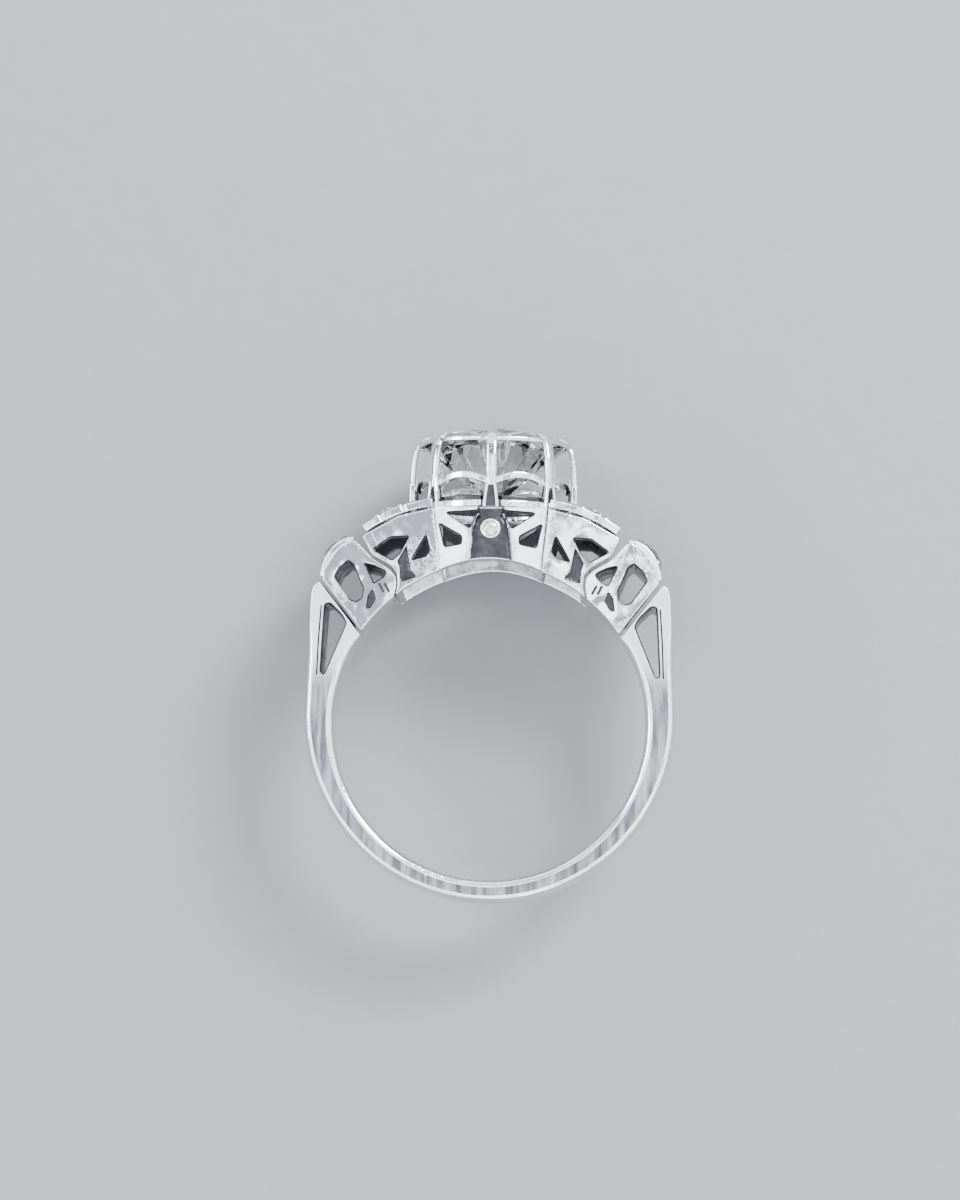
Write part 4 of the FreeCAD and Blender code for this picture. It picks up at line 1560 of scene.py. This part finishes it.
class AddCenterStone(bpy.types.Operator):
    """Add the centre stone"""

    bl_idname = "ring.add_center_stone"
    bl_label = "Centre stone"

    def execute(self, context):
        girdle = 0.03 * STONE_RADIUS
        foot = STONE_TOP - girdle - STONE_CROWN * STONE_RADIUS
        shape = face_outwards(brilliant(STONE_RADIUS, STONE_CROWN, STONE_PAVILION, arc_count=9))
        matrix = Matrix.Translation((0.0, 0.0, foot)) @ Matrix.Rotation(math.radians(11.25), 4, "Z")
        materials = [MATERIALS["diamond"], MATERIALS["girdle"]]
        shape = moved(shape, matrix)
        finish_piece("cut_center_stone", "center_stone", shape, materials, faceted=True)
        return {"FINISHED"}


# ----------------------------------------------------------------------- stage


SHEET_GAP = 0.0004
VIEW_HEIGHT, SENSOR_WIDTH = 0.0652, 36.0
AIM_RIGHT, AIM_UP = -0.00054, 0.0068
DARK_ROOM, LIT_ROOM = (0.08, 0.09, 0.11), (0.92, 0.97, 1.04)


def floor_material(color):
    """Pale sheet with a faint tooth; its back is clear, so that it never hides the ring."""
    material, tree, shader = start_material("pale sheet")
    place = node(tree, "ShaderNodeTexCoord").outputs["Object"]
    tooth = node(tree, "ShaderNodeTexNoise", {"Vector": place, "Scale": 900.0, "Detail": 5.0})
    darker = tuple(channel * 0.96 for channel in color)
    tree.links.new(mix_color(tree, tooth.outputs[0], color, darker), shader.inputs["Base Color"])
    shader.inputs["Roughness"].default_value = 0.9
    bump(tree, shader, [(tooth.outputs[0], 0.00006)])
    clear = node(tree, "ShaderNodeBsdfTransparent")
    back = node(tree, "ShaderNodeNewGeometry").outputs["Backfacing"]
    mixed = node(tree, "ShaderNodeMixShader", {0: back, 1: shader.outputs[0], 2: clear.outputs[0]})
    tree.links.new(mixed.outputs[0], tree.nodes["Material Output"].inputs["Surface"])
    return material


def sheet_object(name, center, across, up, material):
    """A large one-sided square, given by its centre and its two half-edge directions."""
    corners = [center + a * across + b * up for a, b in ((-1, -1), (1, -1), (1, 1), (-1, 1))]
    mesh = bpy.data.meshes.new(name)
    mesh.from_pydata([tuple(corner) for corner in corners], [], [(0, 1, 2, 3)])
    mesh.materials.append(material)
    sheet = bpy.data.objects.new(name, mesh)
    bpy.context.scene.collection.objects.link(sheet)
    sheet.visible_shadow = False
    return sheet


def area_light(name, direction, distance, width, height, power, color=(1.0, 1.0, 1.0)):
    """A soft rectangular lamp that looks at the ring from a direction."""
    data = bpy.data.lights.new(name, "AREA")
    data.shape = "RECTANGLE"
    data.size, data.size_y = width, height
    data.energy = power
    data.color = color
    lamp = bpy.data.objects.new(name, data)
    away = Vector(direction).normalized()
    lamp.location = away * distance
    lamp.rotation_euler = away.to_track_quat("Z", "Y").to_euler()
    bpy.context.scene.collection.objects.link(lamp)
    return lamp


class AddStage(bpy.types.Operator):
    """Add the pale surface, the soft lights, the world and the camera"""

    bl_idname = "ring.add_stage"
    bl_label = "Stage"

    def execute(self, context):
        stage = context.scene.ring_stage
        material = floor_material(tuple(stage.floor_color))
        back = HEAD_RADIUS * MM + SHEET_GAP
        wide, high, deep = Vector((3.0, 0.0, 0.0)), Vector((0.0, 0.0, 3.0)), Vector((0.0, 3.0, 0.0))
        sheet_object("back_sheet", Vector((0.0, back, 0.0)), wide, high, material)
        floor = sheet_object("floor_sheet", Vector((0.0, 0.0, BAND_LOW * MM)), wide, deep, material)
        floor.visible_glossy = False
        floor.visible_diffuse = False
        self.light()
        self.camera(stage)
        return {"FINISHED"}

    def light(self):
        """A studio world with front, top and side boxes behind cloudy silk, and two soft lamps."""
        world = bpy.data.worlds.new("soft studio")
        bpy.context.scene.world = world
        world.use_nodes = True
        tree = world.node_tree
        bearing = node(tree, "ShaderNodeTexCoord").outputs["Generated"]
        way = node(tree, "ShaderNodeSeparateXYZ", {0: bearing})
        cloud = node(tree, "ShaderNodeTexNoise", {"Vector": bearing, "Scale": 8.0, "Detail": 2.0})
        lit = ramp(tree, cloud.outputs[0], 0.38, 0.56)
        fold = node(tree, "ShaderNodeMapRange", {"Value": lit, "To Min": 0.08})
        along = math_node(tree, "ABSOLUTE", way.outputs["Y"], 0.0)
        below = falling(tree, way.outputs["Z"], 0.3, 0.42)
        front = math_node(tree, "MULTIPLY", ramp(tree, along, 0.12, 0.5), below)
        top = math_node(tree, "MULTIPLY", ramp(tree, way.outputs["Z"], 0.48, 0.62), 0.7)
        side = math_node(tree, "MULTIPLY", ramp(tree, way.outputs["X"], 0.45, 0.7), 0.5)
        boxes = math_node(tree, "MAXIMUM", math_node(tree, "MAXIMUM", front, top), side)
        boxes = math_node(tree, "MULTIPLY", boxes, fold.outputs[0])
        color = mix_color(tree, boxes, DARK_ROOM, LIT_ROOM)
        backdrop = tree.nodes["Background"]
        tree.links.new(color, backdrop.inputs["Color"])
        backdrop.inputs["Strength"].default_value = 5.0
        area_light("key box", (0.75, -0.8, 0.75), 0.45, 0.20, 0.16, 6.0, (1.0, 0.985, 0.96))
        area_light("fill box", (-1.0, -0.7, 0.2), 0.5, 0.12, 0.30, 1.6, (0.94, 0.97, 1.0))

    def camera(self, stage):
        """Camera at the viewing angle, aimed above the finger hole as the view is framed."""
        data = bpy.data.cameras.new("camera")
        camera = bpy.data.objects.new("camera", data)
        bpy.context.scene.collection.objects.link(camera)
        bpy.context.scene.camera = camera
        data.sensor_fit = "AUTO"
        data.sensor_width = SENSOR_WIDTH
        data.lens = SENSOR_WIDTH * stage.distance / VIEW_HEIGHT
        data.clip_start, data.clip_end = 0.01, 10.0
        azimuth, elevation, roll = stage.azimuth, stage.elevation, stage.roll
        away = Vector(
            (
                math.sin(azimuth) * math.cos(elevation),
                -math.cos(azimuth) * math.cos(elevation),
                math.sin(elevation),
            )
        )
        upright = away.to_track_quat("Z", "Y").to_matrix()
        turned = upright @ Matrix.Rotation(roll, 3, "Z")
        right, up = turned.col[0], turned.col[1]
        aim = right * AIM_RIGHT + up * AIM_UP
        camera.matrix_world = Matrix.Translation(aim + away * stage.distance) @ turned.to_4x4()


# ------------------------------------------------------------------------ panel

OPERATORS = (
    AddShank,
    AddStepFrames,
    AddSideBoxes,
    AddBoxPlates,
    AddGallery,
    AddRails,
    AddClaws,
    AddCenterStone,
    AddStage,
)


class RingPanel(bpy.types.Panel):
    """Lists the pieces of the ring"""

    bl_idname = "VIEW3D_PT_ring"
    bl_label = "Stepped Shoulder Ring"
    bl_space_type = "VIEW_3D"
    bl_region_type = "UI"
    bl_category = "Ring"

    def draw(self, context):
        column = self.layout.column(align=True)
        for operator in OPERATORS:
            column.operator(operator.bl_idname)
        for group in (context.scene.ring_sizes, context.scene.ring_finish, context.scene.ring_stage):
            for name in group.__annotations__:
                self.layout.prop(group, name)


CLASSES = (RingSizes, RingFinish, RingStage, *OPERATORS, RingPanel)


def register():
    """Register the classes and hang the settings on the scene."""
    for item in CLASSES:
        bpy.utils.register_class(item)
    bpy.types.Scene.ring_sizes = PointerProperty(type=RingSizes)
    bpy.types.Scene.ring_finish = PointerProperty(type=RingFinish)
    bpy.types.Scene.ring_stage = PointerProperty(type=RingStage)


def unregister():
    """Take the settings and the classes away again."""
    del bpy.types.Scene.ring_stage
    del bpy.types.Scene.ring_finish
    del bpy.types.Scene.ring_sizes
    for item in reversed(CLASSES):
        bpy.utils.unregister_class(item)


def main():
    """Build the materials and every piece."""
    register()
    build_materials()
    for operator in OPERATORS:
        category, name = operator.bl_idname.split(".")
        getattr(getattr(bpy.ops, category), name)()


if __name__ == "__main__":
    main()
